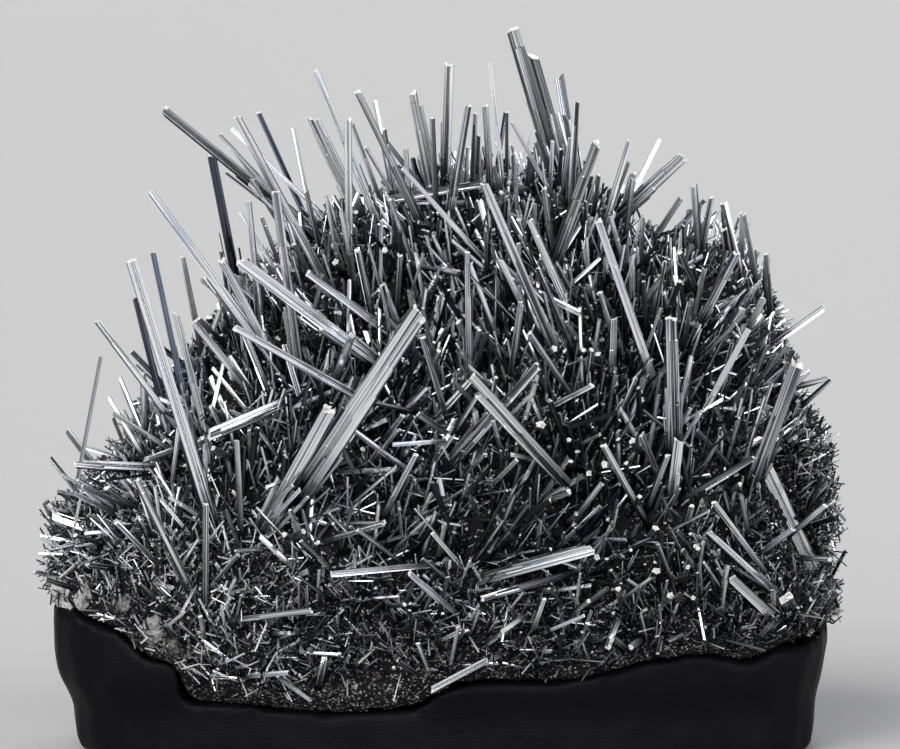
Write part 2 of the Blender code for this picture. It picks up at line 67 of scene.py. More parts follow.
# ---------------------------------------------------------------- camera
# A long lens far off, a little above the middle of the spray and looking slightly down.
EYE = Vector((0, -9.0, 1.2504))
LOOK_AT = Vector((0.01125, 0, 0.4631))
VIEW_WIDTH = 1.125  # metres seen across at LOOK_AT
SENSOR_WIDTH = 36
SEES_TO = 500  # metres, past the far edge of the floor

camera = bpy.data.objects.new("camera", bpy.data.cameras.new("camera"))
camera.location = EYE
camera.rotation_euler = (LOOK_AT - EYE).to_track_quat("-Z", "Y").to_euler()
camera.data.sensor_width = SENSOR_WIDTH
camera.data.lens = SENSOR_WIDTH * (LOOK_AT - EYE).length / VIEW_WIDTH
camera.data.clip_end = SEES_TO
bpy.context.collection.objects.link(camera)
bpy.context.scene.camera = camera

# ---------------------------------------------------------------- floor and light
# A pale seamless floor that runs on far behind, four broad soft lights and an even sky.
FLOOR_SIZE = 400
FLOOR_COLOUR = (0.345, 0.345, 0.352)
FLOOR_MOTTLE = 0.97  # brightness of its darker patches
SKY_COLOUR = (0.60, 0.61, 0.64)
SKY_STRENGTH = 0.11


def add_node(tree, kind, inputs=None, **settings):
    """Adds a shader node. Inputs take numbers and colours, or a socket to link from."""
    node = tree.nodes.new(kind)
    for key, value in settings.items():
        setattr(node, key, value)
    for key, value in (inputs or {}).items():
        if isinstance(value, bpy.types.NodeSocket):
            tree.links.new(value, node.inputs[key])
        else:
            node.inputs[key].default_value = value
    return node


def new_material(name, **constants):
    """A Principled material, its tree and its shader, with constants set on the sockets."""
    made = bpy.data.materials.new(name)
    made.use_nodes = True
    shader = made.node_tree.nodes["Principled BSDF"]
    for key, value in constants.items():
        words = key.replace("_", " ").title().replace("Ior", "IOR")
        shader.inputs[words].default_value = value
    return made, made.node_tree, shader


def noise_texture(tree, vector, scale, detail, roughness=0.5):
    """The value of a noise pattern that reads the given coordinates."""
    inputs = {"Vector": vector, "Scale": scale, "Detail": detail, "Roughness": roughness}
    return add_node(tree, "ShaderNodeTexNoise", inputs).outputs["Fac"]


def colour_ramp(tree, value, *stops):
    """Colours a value, with stops of (position, colour) from low to high."""
    node = add_node(tree, "ShaderNodeValToRGB", {"Fac": value})
    elements = node.color_ramp.elements
    for element, (position, colour) in zip(elements, (stops[0], stops[-1])):
        element.position = position
        element.color = (*colour, 1)
    for position, colour in stops[1:-1]:
        elements.new(position).color = (*colour, 1)
    return node.outputs["Color"]


def on_object(tree, **placing):
    """Coordinates on the piece itself, moved and scaled where a placing is given."""
    place = add_node(tree, "ShaderNodeTexCoord").outputs["Object"]
    if not placing:
        return place
    inputs = {key.title(): tuple(value) for key, value in placing.items()}
    return add_node(tree, "ShaderNodeMapping", {"Vector": place, **inputs}).outputs["Vector"]


def new_piece(name, bm, finish):
    """Puts a finished mesh into an object of its own at the origin."""
    mesh = bpy.data.meshes.new(name)
    bm.to_mesh(mesh)
    bm.free()
    mesh.materials.append(finish)
    piece = bpy.data.objects.new(name, mesh)
    bpy.context.collection.objects.link(piece)
    return piece


floor_paper, tree, shader = new_material("floor paper", roughness=0.75)
whole_floor = on_object(
    tree, location=(0.5, 0.5, 0.5), scale=(1 / FLOOR_SIZE, 1 / FLOOR_SIZE, 1)
)
paper = colour_ramp(
    tree, noise_texture(tree, whole_floor, 3.0, 4.0),
    (0, [FLOOR_MOTTLE * c for c in FLOOR_COLOUR]), (1, FLOOR_COLOUR),
)
tree.links.new(paper, shader.inputs["Base Color"])

bm = bmesh.new()
bmesh.ops.create_grid(bm, x_segments=1, y_segments=1, size=FLOOR_SIZE / 2)
floor = new_piece("floor", bm, floor_paper)

# name, direction it shines from, strength, angular size in degrees, colour
LIGHTS = (
    ("key", (-0.75, -0.85, 0.95), 4.2, 46, (1.0, 0.99, 0.97)),
    ("front", (-0.1, -1.0, 0.4), 1.85, 44, (1.0, 1.0, 1.0)),
    ("side", (1.0, -0.6, 0.45), 2.2, 46, (0.97, 0.98, 1.0)),
    ("back", (0.2, 1.0, 0.8), 1.3, 55, (1.0, 1.0, 1.0)),
)
for name, source, strength, spread, colour in LIGHTS:
    light = bpy.data.lights.new(name, "SUN")
    light.energy = strength
    light.angle = math.radians(spread)
    light.color = colour
    lamp = bpy.data.objects.new(name, light)
    lamp.rotation_euler = Vector(source).to_track_quat("Z", "Y").to_euler()
    bpy.context.collection.objects.link(lamp)

world = bpy.data.worlds.new("sky")
world.use_nodes = True
world.node_tree.nodes["Background"].inputs["Color"].default_value = (*SKY_COLOUR, 1)
world.node_tree.nodes["Background"].inputs["Strength"].default_value = SKY_STRENGTH
bpy.context.scene.world = world
bpy.context.scene.view_settings.view_transform = "Standard"

# ---------------------------------------------------------------- stand
# The cradle is cast or carved to the underside of the stone and painted black. Its surface is
# uneven, with shallow dents, and its edges are rounded over by hand.
STAND_GRAIN = 7 * MM  # size of its faces
STAND_SOFTENING = 4  # rounds of it
STAND_DENTS = ((90 * MM, 3.5 * MM), (30 * MM, 1.2 * MM))  # size and depth
STAND_INSET = 1 * MM


def soften(bm):
    """One round of softening."""
    bmesh.ops.smooth_vert(
        bm, verts=bm.verts, factor=0.5, use_axis_x=True, use_axis_y=True, use_axis_z=True
    )


def evenly_meshed(node, size):
    """A copy of a solid with faces of an even size."""
    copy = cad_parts[node].copy()
    copy.data = copy.data.copy()
    bpy.context.collection.objects.link(copy)
    remesh = copy.modifiers.new("even", "REMESH")
    remesh.mode = "VOXEL"
    remesh.voxel_size = size
    shape = copy.evaluated_get(bpy.context.evaluated_depsgraph_get())
    bm = bmesh.new()
    bm.from_mesh(shape.data)
    bpy.data.objects.remove(copy)
    return bm


def ranged(tree, value, source, result):
    """Takes a value from one range to another."""
    inputs = {"Value": value, "From Min": source[0], "From Max": source[1]}
    inputs.update({"To Min": result[0], "To Max": result[1]})
    return add_node(tree, "ShaderNodeMapRange", inputs).outputs["Result"]


def add_relief(tree, shader, height, strength, distance):
    """Fine relief that shows in the light alone."""
    inputs = {"Strength": strength, "Distance": distance, "Height": height}
    relief = add_node(tree, "ShaderNodeBump", inputs)
    tree.links.new(relief.outputs["Normal"], shader.inputs["Normal"])


bm = evenly_meshed("stand", STAND_GRAIN)
for _ in range(STAND_SOFTENING):
    soften(bm)
bm.normal_update()
for vert in bm.verts:
    dent = sum(depth * noise.noise(vert.co / size) for size, depth in STAND_DENTS)
    vert.co += vert.normal * (dent - STAND_INSET)
    vert.co.z = max(0.0, vert.co.z)
for face in bm.faces:
    face.smooth = True

stand_skin = BVHTree.FromBMesh(bm)

stand_black, tree, shader = new_material("stand black", roughness=0.5, specular_ior_level=0.05)
corners = np.array([vert.co for vert in bm.verts])
low, size = corners.min(0), np.ptp(corners, axis=0)
speck = noise_texture(tree, on_object(tree, location=-low / size, scale=1 / size), 60.0, 6.0, 0.6)
black = colour_ramp(tree, speck, (0, (0.0015, 0.0015, 0.002)), (1, (0.004, 0.004, 0.005)))
tree.links.new(black, shader.inputs["Base Color"])
tree.links.new(ranged(tree, speck, (0, 1), (0.34, 0.62)), shader.inputs["Roughness"])
add_relief(tree, shader, speck, 0.4, 0.002)

stand = new_piece("stand_cradle", bm, stand_black)
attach(stand, "root")
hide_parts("stand")

# ---------------------------------------------------------------- long crystals
# Each long crystal is a prism with flat strips and fine grooves along its faces. It is bright
# steel-grey metal, and its end is snapped off, which shows as a near-white grainy step.

# crystals grown together: foot and tip in millimetres, width, thickness and share of the light
PAIRS = {
    "crown_blade": (
        ((150, 59, 691), (89, 46, 896), 18, 13, 0.75),
        ((158, 59, 695), (110, 48, 862), 25, 12, 0.22),
    ),
    "upper_left_twins": (
        ((-104, 60, 656), (-166, 46, 782), 10, 9, 1),
        ((-98, 59, 658), (-156, 46, 781), 11, 10, 1.1),
    ),
    "front_blade": (
        ((-178, -217, 326), (-25, -355, 568), 27, 15, 1.1),
        ((-227, -187, 273), (-134, -287, 448), 21, 13, 0.85),
    ),
    "centre_rods": (
        ((162, -217, 341), (35, -300, 489), 13, 11, 0.9),
        ((148, -222, 350), (45, -285, 462), 9, 8, 1.1),
    ),
}
DARK_CRYSTALS = ("left_dark_rod", "upper_left_dark_blade")
# crystals that lie back behind others, given the dark metal as painted shade
SHADED_CRYSTALS = ("left_back_rod", "upper_left_far_rod")
DULL_CRYSTALS = (
    "right_thick_rod", "crown_side_rod", "upper_left_beam", "upper_left_far_needle",
    "left_lying_blade",
)
DULL_SHADE = 0.5
BRIGHT_CRYSTALS = (
    "middle_left_long_rod", "middle_left_beam", "front_blade", "right_big_beam",
    "left_long_rod", "upper_left_rod", "right_crown_rod", "right_slanting_rod",
)
BRIGHT_SHADE = 1.3
GROOVE_WIDTH = 0.55 * MM
GROOVE_DEPTH = 0.09  # as a share of the way to the axis
BLADE_SECTION = ((0.5, 0), (0.44, 0.4), (-0.44, 0.4), (-0.5, 0), (-0.44, -0.4), (0.44, -0.4))
STOUT = 13.5 * MM  # crystals wider than this have more grooves and more growth at the foot
STRANDS = (7, 14)  # finer crystals alongside a thin and a stout one
FREE_STRANDS = {"right_big_beam": 4}  # it stands nearly free
STREAKS = (290.0, 3.0, 1.0)  # across, along and through a crystal, for each metre
TARNISH = (0.62, 0.7, 0.84)


def mixed_colour(tree, share, first, second, blend="MIX"):
    """Mixes two colours, each from a socket or constant."""
    inputs = {"Factor": share, 6: first, 7: second}
    mix = add_node(tree, "ShaderNodeMix", inputs, data_type="RGBA", blend_type=blend)
    return mix.outputs[2]


def crystal_metal(name, deep, bright, ends, metallic=0.86):
    """Metal with streaks along each crystal, from the faces' own grain map, and pale ends."""
    made, tree, shader = new_material(name, metallic=1.0)
    finish = add_node(tree, "ShaderNodeAttribute", attribute_name="finish")
    parts = add_node(tree, "ShaderNodeSeparateColor", {"Color": finish.outputs["Color"]})
    level, at_end = parts.outputs["Red"], parts.outputs["Green"]
    grain = add_node(tree, "ShaderNodeUVMap", uv_map="grain")
    stretch = add_node(
        tree, "ShaderNodeMapping", {"Vector": grain.outputs["UV"], "Scale": STREAKS}
    )
    streak = noise_texture(tree, stretch.outputs["Vector"], 1.0, 3.0)
    lit = add_node(
        tree, "ShaderNodeMath", {0: level, 1: ranged(tree, streak, (0.38, 0.48), (0.1, 1.1))},
        operation="MULTIPLY", use_clamp=True,
    )
    body = mixed_colour(tree, lit.outputs[0], (*deep, 1), (*bright, 1))
    place = on_object(tree)
    tarnish = ranged(tree, noise_texture(tree, place, 16.0, 3.0), (0.45, 0.7), (0.0, 0.6))
    tinted = mixed_colour(tree, tarnish, body, (*TARNISH, 1), "MULTIPLY")
    crumbly = noise_texture(tree, place, 420.0, 4.0)
    broken = mixed_colour(tree, crumbly, (*[0.45 * c for c in ends], 1), (*ends, 1))
    tree.links.new(mixed_colour(tree, at_end, tinted, broken), shader.inputs["Base Color"])
    metal = ranged(tree, at_end, (0, 1), (metallic, 0.2))
    tree.links.new(metal, shader.inputs["Metallic"])
    smooth = ranged(tree, streak, (0.3, 0.7), (0.12, 0.3))
    dull = add_node(
        tree, "ShaderNodeMath", {0: at_end, 1: 0.4, 2: smooth}, operation="MULTIPLY_ADD"
    )
    tree.links.new(dull.outputs[0], shader.inputs["Roughness"])
    add_relief(tree, shader, streak, 0.35, 0.0006)
    return made


silver = crystal_metal(
    "stibnite silver", (0.005, 0.008, 0.014), (0.88, 0.89, 0.92), (0.67, 0.67, 0.65)
)
steel_blue = crystal_metal(
    "stibnite dark", (0.003, 0.004, 0.006), (0.055, 0.065, 0.09), (0.6, 0.6, 0.58)
)
frosted = crystal_metal(
    "stibnite frosted", (0.003, 0.004, 0.006), (0.8, 0.8, 0.81), (0.7, 0.7, 0.68), 0.5
)


def new_growth():
    """An empty mesh with the layers that every crystal writes: its finish and its grain."""
    bm = bmesh.new()
    bm.verts.layers.int.new("groove")
    bm.loops.layers.float_color.new("finish")
    bm.loops.layers.uv.new("grain")
    return bm


def write_finish(bm, ends, shade, length, foot, foot_share, whiteness, rng, front=0.0):
    """Writes brightness, broken ends and the grain map of a crystal on its axis. Each facet has
    a tone of its own, and so has each strip of it. The foot is darkened with painted shade: foot
    is the level there (below nothing, the black reaches higher), and foot_share is its part of
    the length. The bottoms of the grooves get painted shade too. With front, the facets get a
    painted highlight by how far they face forwards."""
    groove = bm.verts.layers.int["groove"]
    finish = bm.loops.layers.float_color["finish"]
    grain = bm.loops.layers.uv["grain"]
    seed = rng.uniform(0, 100)
    shift = rng.random()
    for face in bm.faces:
        at_end = whiteness if face in ends else 0.0
        across = Vector((-face.normal.y, face.normal.x, 0))
        centre = face.calc_center_median()
        centre.z = 0
        facet = noise.noise(face.normal * 1.3 + Vector((seed, 0, 0)))
        strip = noise.noise(centre.normalized() * 6.0 + Vector((0, seed, 0)))
        facet_tone_and_highlight = 0.8 + 1.4 * facet + 1.4 * strip
        # painted highlight: facets that face forwards are drawn brighter
        if front:
            vary = 1.6 - front
            facet_tone_and_highlight = 0.15 + front * max(0.0, face.normal.y) + vary * (1.2 * facet + 1.8 * strip)
        if abs(face.normal.z) > 0.5:
            facet_tone_and_highlight = 0.1
        level = shade * min(1.2, max(0.06, facet_tone_and_highlight))
        for loop in face.loops:
            co = loop.vert.co
            # painted shade: darker towards the foot of the crystal
            unshaded_share = min(1.0, foot + (1 - foot) * co.z / (length * foot_share))
            # painted shade in the bottoms of the grooves
            if loop.vert[groove]:
                unshaded_share *= 0.1
            loop[finish] = (level * unshaded_share, at_end, 0, 1)
            loop[grain].uv = (co.x, co.y) if at_end else (co.dot(across) + shift, co.z + shift)


def put_in_place(bm, root, tip):
    """Takes a crystal from the upright axis to its place, its broad side to the front."""
    along = (tip - root).normalized()
    sideways = along.cross(Vector((0, 1, 0)))
    if sideways.length < 0.05:
        sideways = along.cross(Vector((0, 0, 1)))
    sideways.normalize()
    turn = Matrix((sideways, -sideways.cross(along), along)).transposed().to_4x4()
    bmesh.ops.transform(bm, matrix=Matrix.Translation(root) @ turn, verts=bm.verts)


def grooved_section(facets, strips, wide, thick, blade_and_front_highlight, rng):
    """Corners of a crystal's section: facets round an oval, each cut into strips by grooves."""
    start = rng.uniform(0, 2 * math.pi)
    turns = [start + 2 * math.pi * (i + rng.uniform(-0.22, 0.22)) / facets for i in range(facets)]
    corners = [Vector((math.cos(a) * wide / 2, math.sin(a) * thick / 2, 0)) for a in turns]
    if blade_and_front_highlight:
        # a blade: broad in front and behind, with narrow facets along its edges
        corners = []
        for x, y in BLADE_SECTION:
            x += rng.uniform(-0.03, 0.03)
            y += rng.uniform(-0.04, 0.04)
            corners.append(Vector((x * wide, y * thick, 0)))
    outline = []  # point, and whether it is the bottom of a groove
    for i, corner in enumerate(corners):
        following = corners[(i + 1) % len(corners)]
        outline.append((corner, 0))
        if blade_and_front_highlight and i not in (1, 4):
            continue
        narrow = GROOVE_WIDTH / max(GROOVE_WIDTH * 12, (following - corner).length)
        at = 0.0
        for j in range(strips - 1):
            at += (0.9 - at) * rng.uniform(0.5, 1.5) / (strips - j)
            depth = rng.uniform(0.0, 0.06)
            lips = (at - narrow, 0, 0), (at, GROOVE_DEPTH, 1), (at + narrow, 0, 0)
            for cut, deep, bottom in lips:
                outline.append((corner.lerp(following, cut) * (1 - deep - depth), bottom))
    return outline


def drawn_up(bm, face, level, scale):
    """Draws a crystal's end face up to a level, and narrows it."""
    moved = bmesh.ops.extrude_face_region(bm, geom=[face])["geom"]
    top = next(g for g in moved if isinstance(g, bmesh.types.BMFace))
    for vert in top.verts:
        vert.co = Vector((vert.co.x * scale, vert.co.y * scale, level))
    return top


# By default painted shade darkens a crystal towards its foot over three quarters of its length.
def prism(
    root, tip, wide, thick, rng, shade=1.0, facets=6, strips=3, rings=4, white=1.0, foot=-0.3,
    foot_share=0.75, blade_and_front_highlight=0.0,
):
    """A grooved crystal: its section is drawn up ring by ring with small ledges, and the end is
    snapped off in steps and capped with a rough face."""
    bm = new_growth()
    length = (tip - root).length
    outline = grooved_section(facets, strips, wide, thick, blade_and_front_highlight, rng)
    groove = bm.verts.layers.int["groove"]
    ring = [bm.verts.new(point) for point, _ in outline]
    for vert, (_, bottom) in zip(ring, outline):
        vert[groove] = bottom
    top = bm.faces.new(ring)
    levels = sorted(rng.uniform(0.15, 0.95) for _ in range(rings - 1)) + [1.0]
    for level in levels:
        top = drawn_up(bm, top, length * level, 1 - 0.1 / rings)
        if level < 1:
            # a ledge, where some of the strips come to an end
            ledge = rng.uniform(0, 2 * math.pi)
            towards = Vector((math.cos(ledge), math.sin(ledge), 0))
            top = drawn_up(bm, top, length * level + 0.05 * wide, 1)
            for vert in top.verts:
                if vert.co.xy.dot(towards.xy) > 0.12 * wide:
                    vert.co -= towards * rng.uniform(0.03, 0.07) * wide
    sectors = max(3, facets - 1)
    steps = [rng.uniform(-0.35, 0.1) for _ in range(sectors)]
    slant = rng.uniform(-0.45, 0.45)
    for vert in top.verts:
        sector = int((math.atan2(vert.co.y, vert.co.x) / (2 * math.pi) + 0.5) * sectors) % sectors
        vert.co.z += steps[sector] * wide + slant * vert.co.x
    walls = set(bm.faces) - {top}
    moved = bmesh.ops.extrude_face_region(bm, geom=[top])["geom"]
    top = next(g for g in moved if isinstance(g, bmesh.types.BMFace))
    for vert in top.verts:
        vert.co.x *= rng.uniform(0.6, 0.85)
        vert.co.y *= rng.uniform(0.6, 0.85)
        vert.co.z += rng.uniform(-0.06, 0.1) * wide
    bmesh.ops.poke(bm, faces=[top], offset=rng.uniform(-0.05, 0.08) * wide)
    bm.normal_update()
    ends = {face for face in bm.faces if face not in walls}
    write_finish(bm, ends, shade, length, foot, foot_share, white, rng, blade_and_front_highlight)
    put_in_place(bm, root, tip)
    return bm


# By default painted shade darkens a needle along its length towards the foot.
def needle(root, tip, wide, thick, rng, shade=1.0, sides=6, foot=-0.45):
    """A fine crystal: a drawn-out cone with a few flat sides and a slanting broken end."""
    bm = new_growth()
    length = (tip - root).length
    bmesh.ops.create_cone(
        bm, cap_ends=True, segments=sides, radius1=wide / 2, radius2=wide * rng.uniform(0.3, 0.45),
        depth=length, matrix=Matrix.Translation((0, 0, length / 2)),
    )
    slant = rng.uniform(-0.8, 0.8)
    for vert in bm.verts:
        vert.co.y *= thick / wide
        if vert.co.z > length / 2:
            vert.co.z += slant * vert.co.x
    bm.normal_update()
    ends = {face for face in bm.faces if face.normal.z > 0.5}
    write_finish(bm, ends, shade, length, foot, 1.0, rng.choice((0.1, 0.1, 0.2, 0.8)), rng)
    put_in_place(bm, root, tip)
    return bm


def gather(whole, bm):
    """Moves a finished crystal into the mesh of its piece."""
    mesh = bpy.data.meshes.new("grown")
    bm.to_mesh(mesh)
    bm.free()
    whole.from_mesh(mesh)
    bpy.data.meshes.remove(mesh)


def crystal_in(node):
    """Foot, tip, width and thickness of the crystal that a solid stands for. The narrower end
    of the solid is the tip."""
    points = np.array([v.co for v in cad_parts[node].data.vertices])
    along = np.linalg.svd(points - points.mean(0))[2][0]
    reach = points @ along
    length = reach.max() - reach.min()
    ends = [points[reach < reach.min() + 0.1 * length], points[reach > reach.max() - 0.1 * length]]
    centres = [end.mean(0) for end in ends]
    girths = [np.linalg.norm(end - centre, axis=1).mean() for end, centre in zip(ends, centres)]
    if girths[0] < girths[1]:
        centres.reverse()
    root, tip = Vector(centres[0]), Vector(centres[1])
    axis = (tip - root).normalized()
    tip = root + axis * length
    sideways = axis.cross(Vector((0, 1, 0))).normalized()
    spans = [np.ptp(points @ np.array(side)) for side in (sideways, sideways.cross(axis))]
    return root, tip, spans[0], spans[1]


rng = random.Random(11)
long_crystals = []  # foot, tip and width of each, for the crystals that grow round them
for node in sorted(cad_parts):
    if node in ("matrix", "stand"):
        continue
    if node in PAIRS:
        group = [
            (Vector(r) * MM, Vector(t) * MM, w * MM, d * MM, share)
            for r, t, w, d, share in PAIRS[node]
        ]
    else:
        group = [(*crystal_in(node), 1.0)]
    whole = new_growth()
    bright = node in BRIGHT_CRYSTALS
    for root, tip, wide, thick, own_shade in group:
        stout = bool(wide > STOUT)
        shade = BRIGHT_SHADE if bright else rng.uniform(0.8, 1.2)
        if node in DULL_CRYSTALS:
            shade = DULL_SHADE
        # painted shade darkens the lowest quarter towards the foot, and the facets that face
        # forwards get a painted highlight
        gather(whole, prism(
            root, tip, wide, thick, rng, shade=shade * own_shade, strips=5 if stout else 3,
            rings=3, foot=0.05, foot_share=0.25, blade_and_front_highlight=1.15 if bright else 0.8,
        ))
        long_crystals.append((root, tip, wide))
        # thinner crystals that grew alongside the foot of it
        for _ in range(FREE_STRANDS.get(node, STRANDS[stout])):
            share = rng.uniform(0.18, 0.55)
            aside = Vector((rng.uniform(-1, 1), rng.uniform(-0.7, 0.4), rng.uniform(-0.5, 0.5)))
            shift = aside * wide * 0.62
            end = root.lerp(tip, share) + shift * rng.uniform(0.5, 1.7)
            fine = wide * rng.uniform(0.1, 0.3)
            gather(whole, prism(
                root + shift, end, fine, fine * 0.8, rng, shade=shade * rng.choice((0.3, 0.7, 1)),
                facets=5, strips=1, rings=3, white=0.4,
            ))
    # the dark metal: the dark crystals' own colour, and painted shade for the shaded ones
    dark = node in DARK_CRYSTALS + SHADED_CRYSTALS
    piece = new_piece(node + "_metal", whole, steel_blue if dark else silver)
    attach(piece, "root")
    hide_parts(node)

# ---------------------------------------------------------------- massive rock
# Under the crystals lies a lumpy body of granular massive stibnite. It shows only in the gaps
# between them and along the foot. Its colour is nearly black: dark stone, with painted shade of
# the deep gaps between the crystals.
ROCK_RINGS = 150
ROCK_SIDES = 180
ROCK_HEART = 250 * MM  # height of the line that the rock is measured from
ROCK_SUNK = 24 * MM  # how deep the crystals' feet lie under the reach of the solid
ROCK_LUMPS = ((60 * MM, 9 * MM), (22 * MM, 5 * MM), (8 * MM, 2 * MM))  # size and height
ROCK_INSET = (6 * MM, 3 * MM)  # how far its two ends keep inside the ends of the stand
TRENCH = 42 * MM  # how far at most it sinks away under a long crystal

matrix_tree = BVHTree.FromPolygons(
    [v.co[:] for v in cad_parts["matrix"].data.vertices],
    [p.vertices[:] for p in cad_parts["matrix"].data.polygons],
)
rock_left, rock_right = [corner.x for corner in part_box("stand")]
rock_left += ROCK_INSET[0]
rock_right -= ROCK_INSET[1]


def rock_reach(shares, angles):
    """Distance from the heart line to the solid's surface, without its fused crystals."""
    reach = np.zeros((len(shares), len(angles)))
    for i, share in enumerate(shares):
        heart = Vector((rock_left + (rock_right - rock_left) * share, 0, ROCK_HEART))
        for j, angle in enumerate(angles):
            out = Vector((0, math.cos(angle), math.sin(angle)))
            hit = matrix_tree.ray_cast(heart, out)
            reach[i, j] = hit[3] if hit[3] else 0
    # the median of the neighbouring rays leaves the crystals out
    window = [
        np.roll(reach, turn, axis=1)[np.clip(np.arange(len(shares)) + step, 0, len(shares) - 1)]
        for step in range(-2, 3) for turn in range(-3, 4)
    ]
    return np.median(window, axis=0)


shares = (1 - np.cos(np.pi * np.arange(ROCK_RINGS + 1) / ROCK_RINGS)) / 2
angles = 2 * math.pi * np.arange(ROCK_SIDES) / ROCK_SIDES
reach = rock_reach(shares, angles)

bm = bmesh.new()
turned = Matrix.Rotation(math.radians(90), 4, "Y")
bmesh.ops.create_uvsphere(
    bm, u_segments=ROCK_SIDES, v_segments=ROCK_RINGS, radius=1, matrix=turned
)
place_on_rock = bm.verts.layers.int.new("place")  # ring and side, which give the faces an order
for vert in bm.verts:
    ring = round(math.acos(max(-1, min(1, -vert.co.x))) / math.pi * ROCK_RINGS)
    angle = math.atan2(vert.co.z, vert.co.y)
    side = round(angle / (2 * math.pi) * ROCK_SIDES) % ROCK_SIDES
    x = rock_left + (rock_right - rock_left) * shares[ring]
    r = reach[ring, side]
    vert[place_on_rock] = ring * ROCK_SIDES + (side if 0 < ring < ROCK_RINGS else 0)
    sunk = ROCK_SUNK * min(1.0, max(0.0, 0.6 + 1.2 * math.sin(angle)))
    r = max(0.0, r - sunk) if 0 < ring < ROCK_RINGS else 0.0
    vert.co = (x, r * math.cos(angle), ROCK_HEART + r * math.sin(angle))
soften(bm)
bm.normal_update()
for vert in bm.verts:
    lump = sum(height * noise.noise(vert.co / size) for size, height in ROCK_LUMPS)
    vert.co += vert.normal * lump * min(1.0, max(0.0, 1 + 2 * vert.normal.z))
bmesh.ops.recalc_face_normals(bm, faces=bm.faces)

# the rock keeps clear of the long crystals, so that they lie free from near their feet on
places = np.array([vert.co for vert in bm.verts])
normals = np.array([vert.normal for vert in bm.verts])
sinking = np.zeros(len(places))
for root, tip, wide in long_crystals:
    start = np.array(root.lerp(tip, 0.15))
    run = np.array(tip) - start
    share = np.clip((places - start) @ run / (run @ run), 0, 1)
    gap = start + share[:, None] * run - places
    above = (gap * normals).sum(1)
    aside = np.sqrt(np.maximum(0, (gap ** 2).sum(1) - above ** 2))
    fade = np.clip((1.1 * wide + 8 * MM - aside) / (0.5 * wide + 5 * MM), 0, 1)
    sinking = np.maximum(sinking, fade * np.clip(0.4 * wide + 2 * MM - above, 0, TRENCH))
for vert, depth in zip(bm.verts, sinking):
    vert.co -= vert.normal * float(depth)
bm.normal_update()
rock_skin = BVHTree.FromBMesh(bm)
ordered = sorted(bm.faces, key=lambda face: sorted(v[place_on_rock] for v in face.verts))
rock_faces = [(f.calc_area(), f.calc_center_median(), f.normal.copy()) for f in ordered]

rock_stone, tree, shader = new_material(
    "massive stibnite", specular_ior_level=0.15, roughness=0.8
)
place = on_object(tree)
coarse = noise_texture(tree, place, 35.0, 8.0, 0.7)
grit = add_node(tree, "ShaderNodeTexVoronoi", {"Vector": place, "Scale": 480.0})
# nearly black: the dark stone, with painted shade of the gaps between the crystals
black = colour_ramp(
    tree, coarse,
    (0.35, (0.0015, 0.0015, 0.002)), (0.58, (0.005, 0.005, 0.006)), (0.76, (0.04, 0.038, 0.036)),
)
# single pale and brownish grains, which lie closer together near the stand
parts = add_node(tree, "ShaderNodeSeparateColor", {"Color": grit.outputs["Color"]})
height = add_node(tree, "ShaderNodeSeparateXYZ", {"Vector": place})
rarity = ranged(tree, height.outputs["Z"], (0.07, 0.26), (0.74, 0.93))
pale = ranged(tree, parts.outputs["Red"], (rarity, 1.0), (0.0, 1.0))
grains = colour_ramp(
    tree, parts.outputs["Green"],
    (0, (0.06, 0.05, 0.045)), (0.35, (0.18, 0.155, 0.145)), (0.6, (0.34, 0.34, 0.35)),
    (1, (0.42, 0.4, 0.38)),
)
tree.links.new(mixed_colour(tree, pale, black, grains), shader.inputs["Base Color"])
rough = add_node(
    tree, "ShaderNodeMath", {0: coarse, 1: grit.outputs["Distance"], 2: 0.25},
    operation="MULTIPLY_ADD",
)
add_relief(tree, shader, rough.outputs[0], 0.8, 0.003)

rock = new_piece("massive_rock", bm, rock_stone)
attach(rock, "root")
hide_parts("matrix")

# ---------------------------------------------------------------- short crystals of the solid
# The shorter crystals that are grown fast to the rock. Each is found again on the solid by its
# end, and is made anew in its place with grooves and a broken end.
STUB_STANDS_OFF = 14 * MM  # least distance of a stub's end from the reach of the rock
STUB_END = 14 * MM  # points that lie closer than this belong to one end
STUB_ROOT = 8 * MM  # how deep it is rooted
STUB_WIDTH = (6.5, 9.5)  # in millimetres


def stubs_on(solid):
    """Foot and tip of each short crystal that is fused to the rock."""
    points = np.array([v.co for v in solid.vertices])
    away = np.array([rock_skin.find_nearest(Vector(p))[3] for p in points])
    far = [i for i in range(len(points)) if away[i] > ROCK_SUNK + STUB_STANDS_OFF]
    faces_at = {i: [] for i in far}
    for polygon in solid.polygons:
        for i in polygon.vertices:
            if i in faces_at:
                faces_at[i].append(polygon)
    found = []
    left = set(far)
    while left:  # the points of one crystal's end at a time
        first = left.pop()
        near = [i for i in left if np.linalg.norm(points[i] - points[first]) < STUB_END]
        left -= set(near)
        cluster = [first] + near
        spread = np.zeros((3, 3))
        for i in cluster:
            for polygon in faces_at[i]:
                normal = np.array(polygon.normal)
                spread += polygon.area * np.outer(normal, normal)
        axis = np.linalg.eigh(spread)[1][:, 0]
        tip = Vector(points[cluster].mean(0))
        outwards = tip - rock_skin.find_nearest(tip)[0]
        axis = Vector(axis) if Vector(axis).dot(outwards) > 0 else -Vector(axis)
        hit = rock_skin.ray_cast(tip, -axis)
        if hit[0] is None:
            continue
        found.append((hit[0] - axis * STUB_ROOT, tip))
    return found


rng = random.Random(23)
whole = new_growth()
for root, tip in stubs_on(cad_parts["matrix"].data):
    wide = rng.uniform(*STUB_WIDTH) * MM
    gather(whole, prism(
        root, tip, wide, wide * 0.8, rng, shade=rng.uniform(0.5, 1.3), strips=2, rings=2,
    ))
    long_crystals.append((root, tip, wide))
stubs = new_piece("short_crystals", whole, silver)
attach(stubs, "root")

# ---------------------------------------------------------------- crystals lying on the spray
# Middling crystals that lie over the thicket at every angle, grown fast to the rock at the foot.

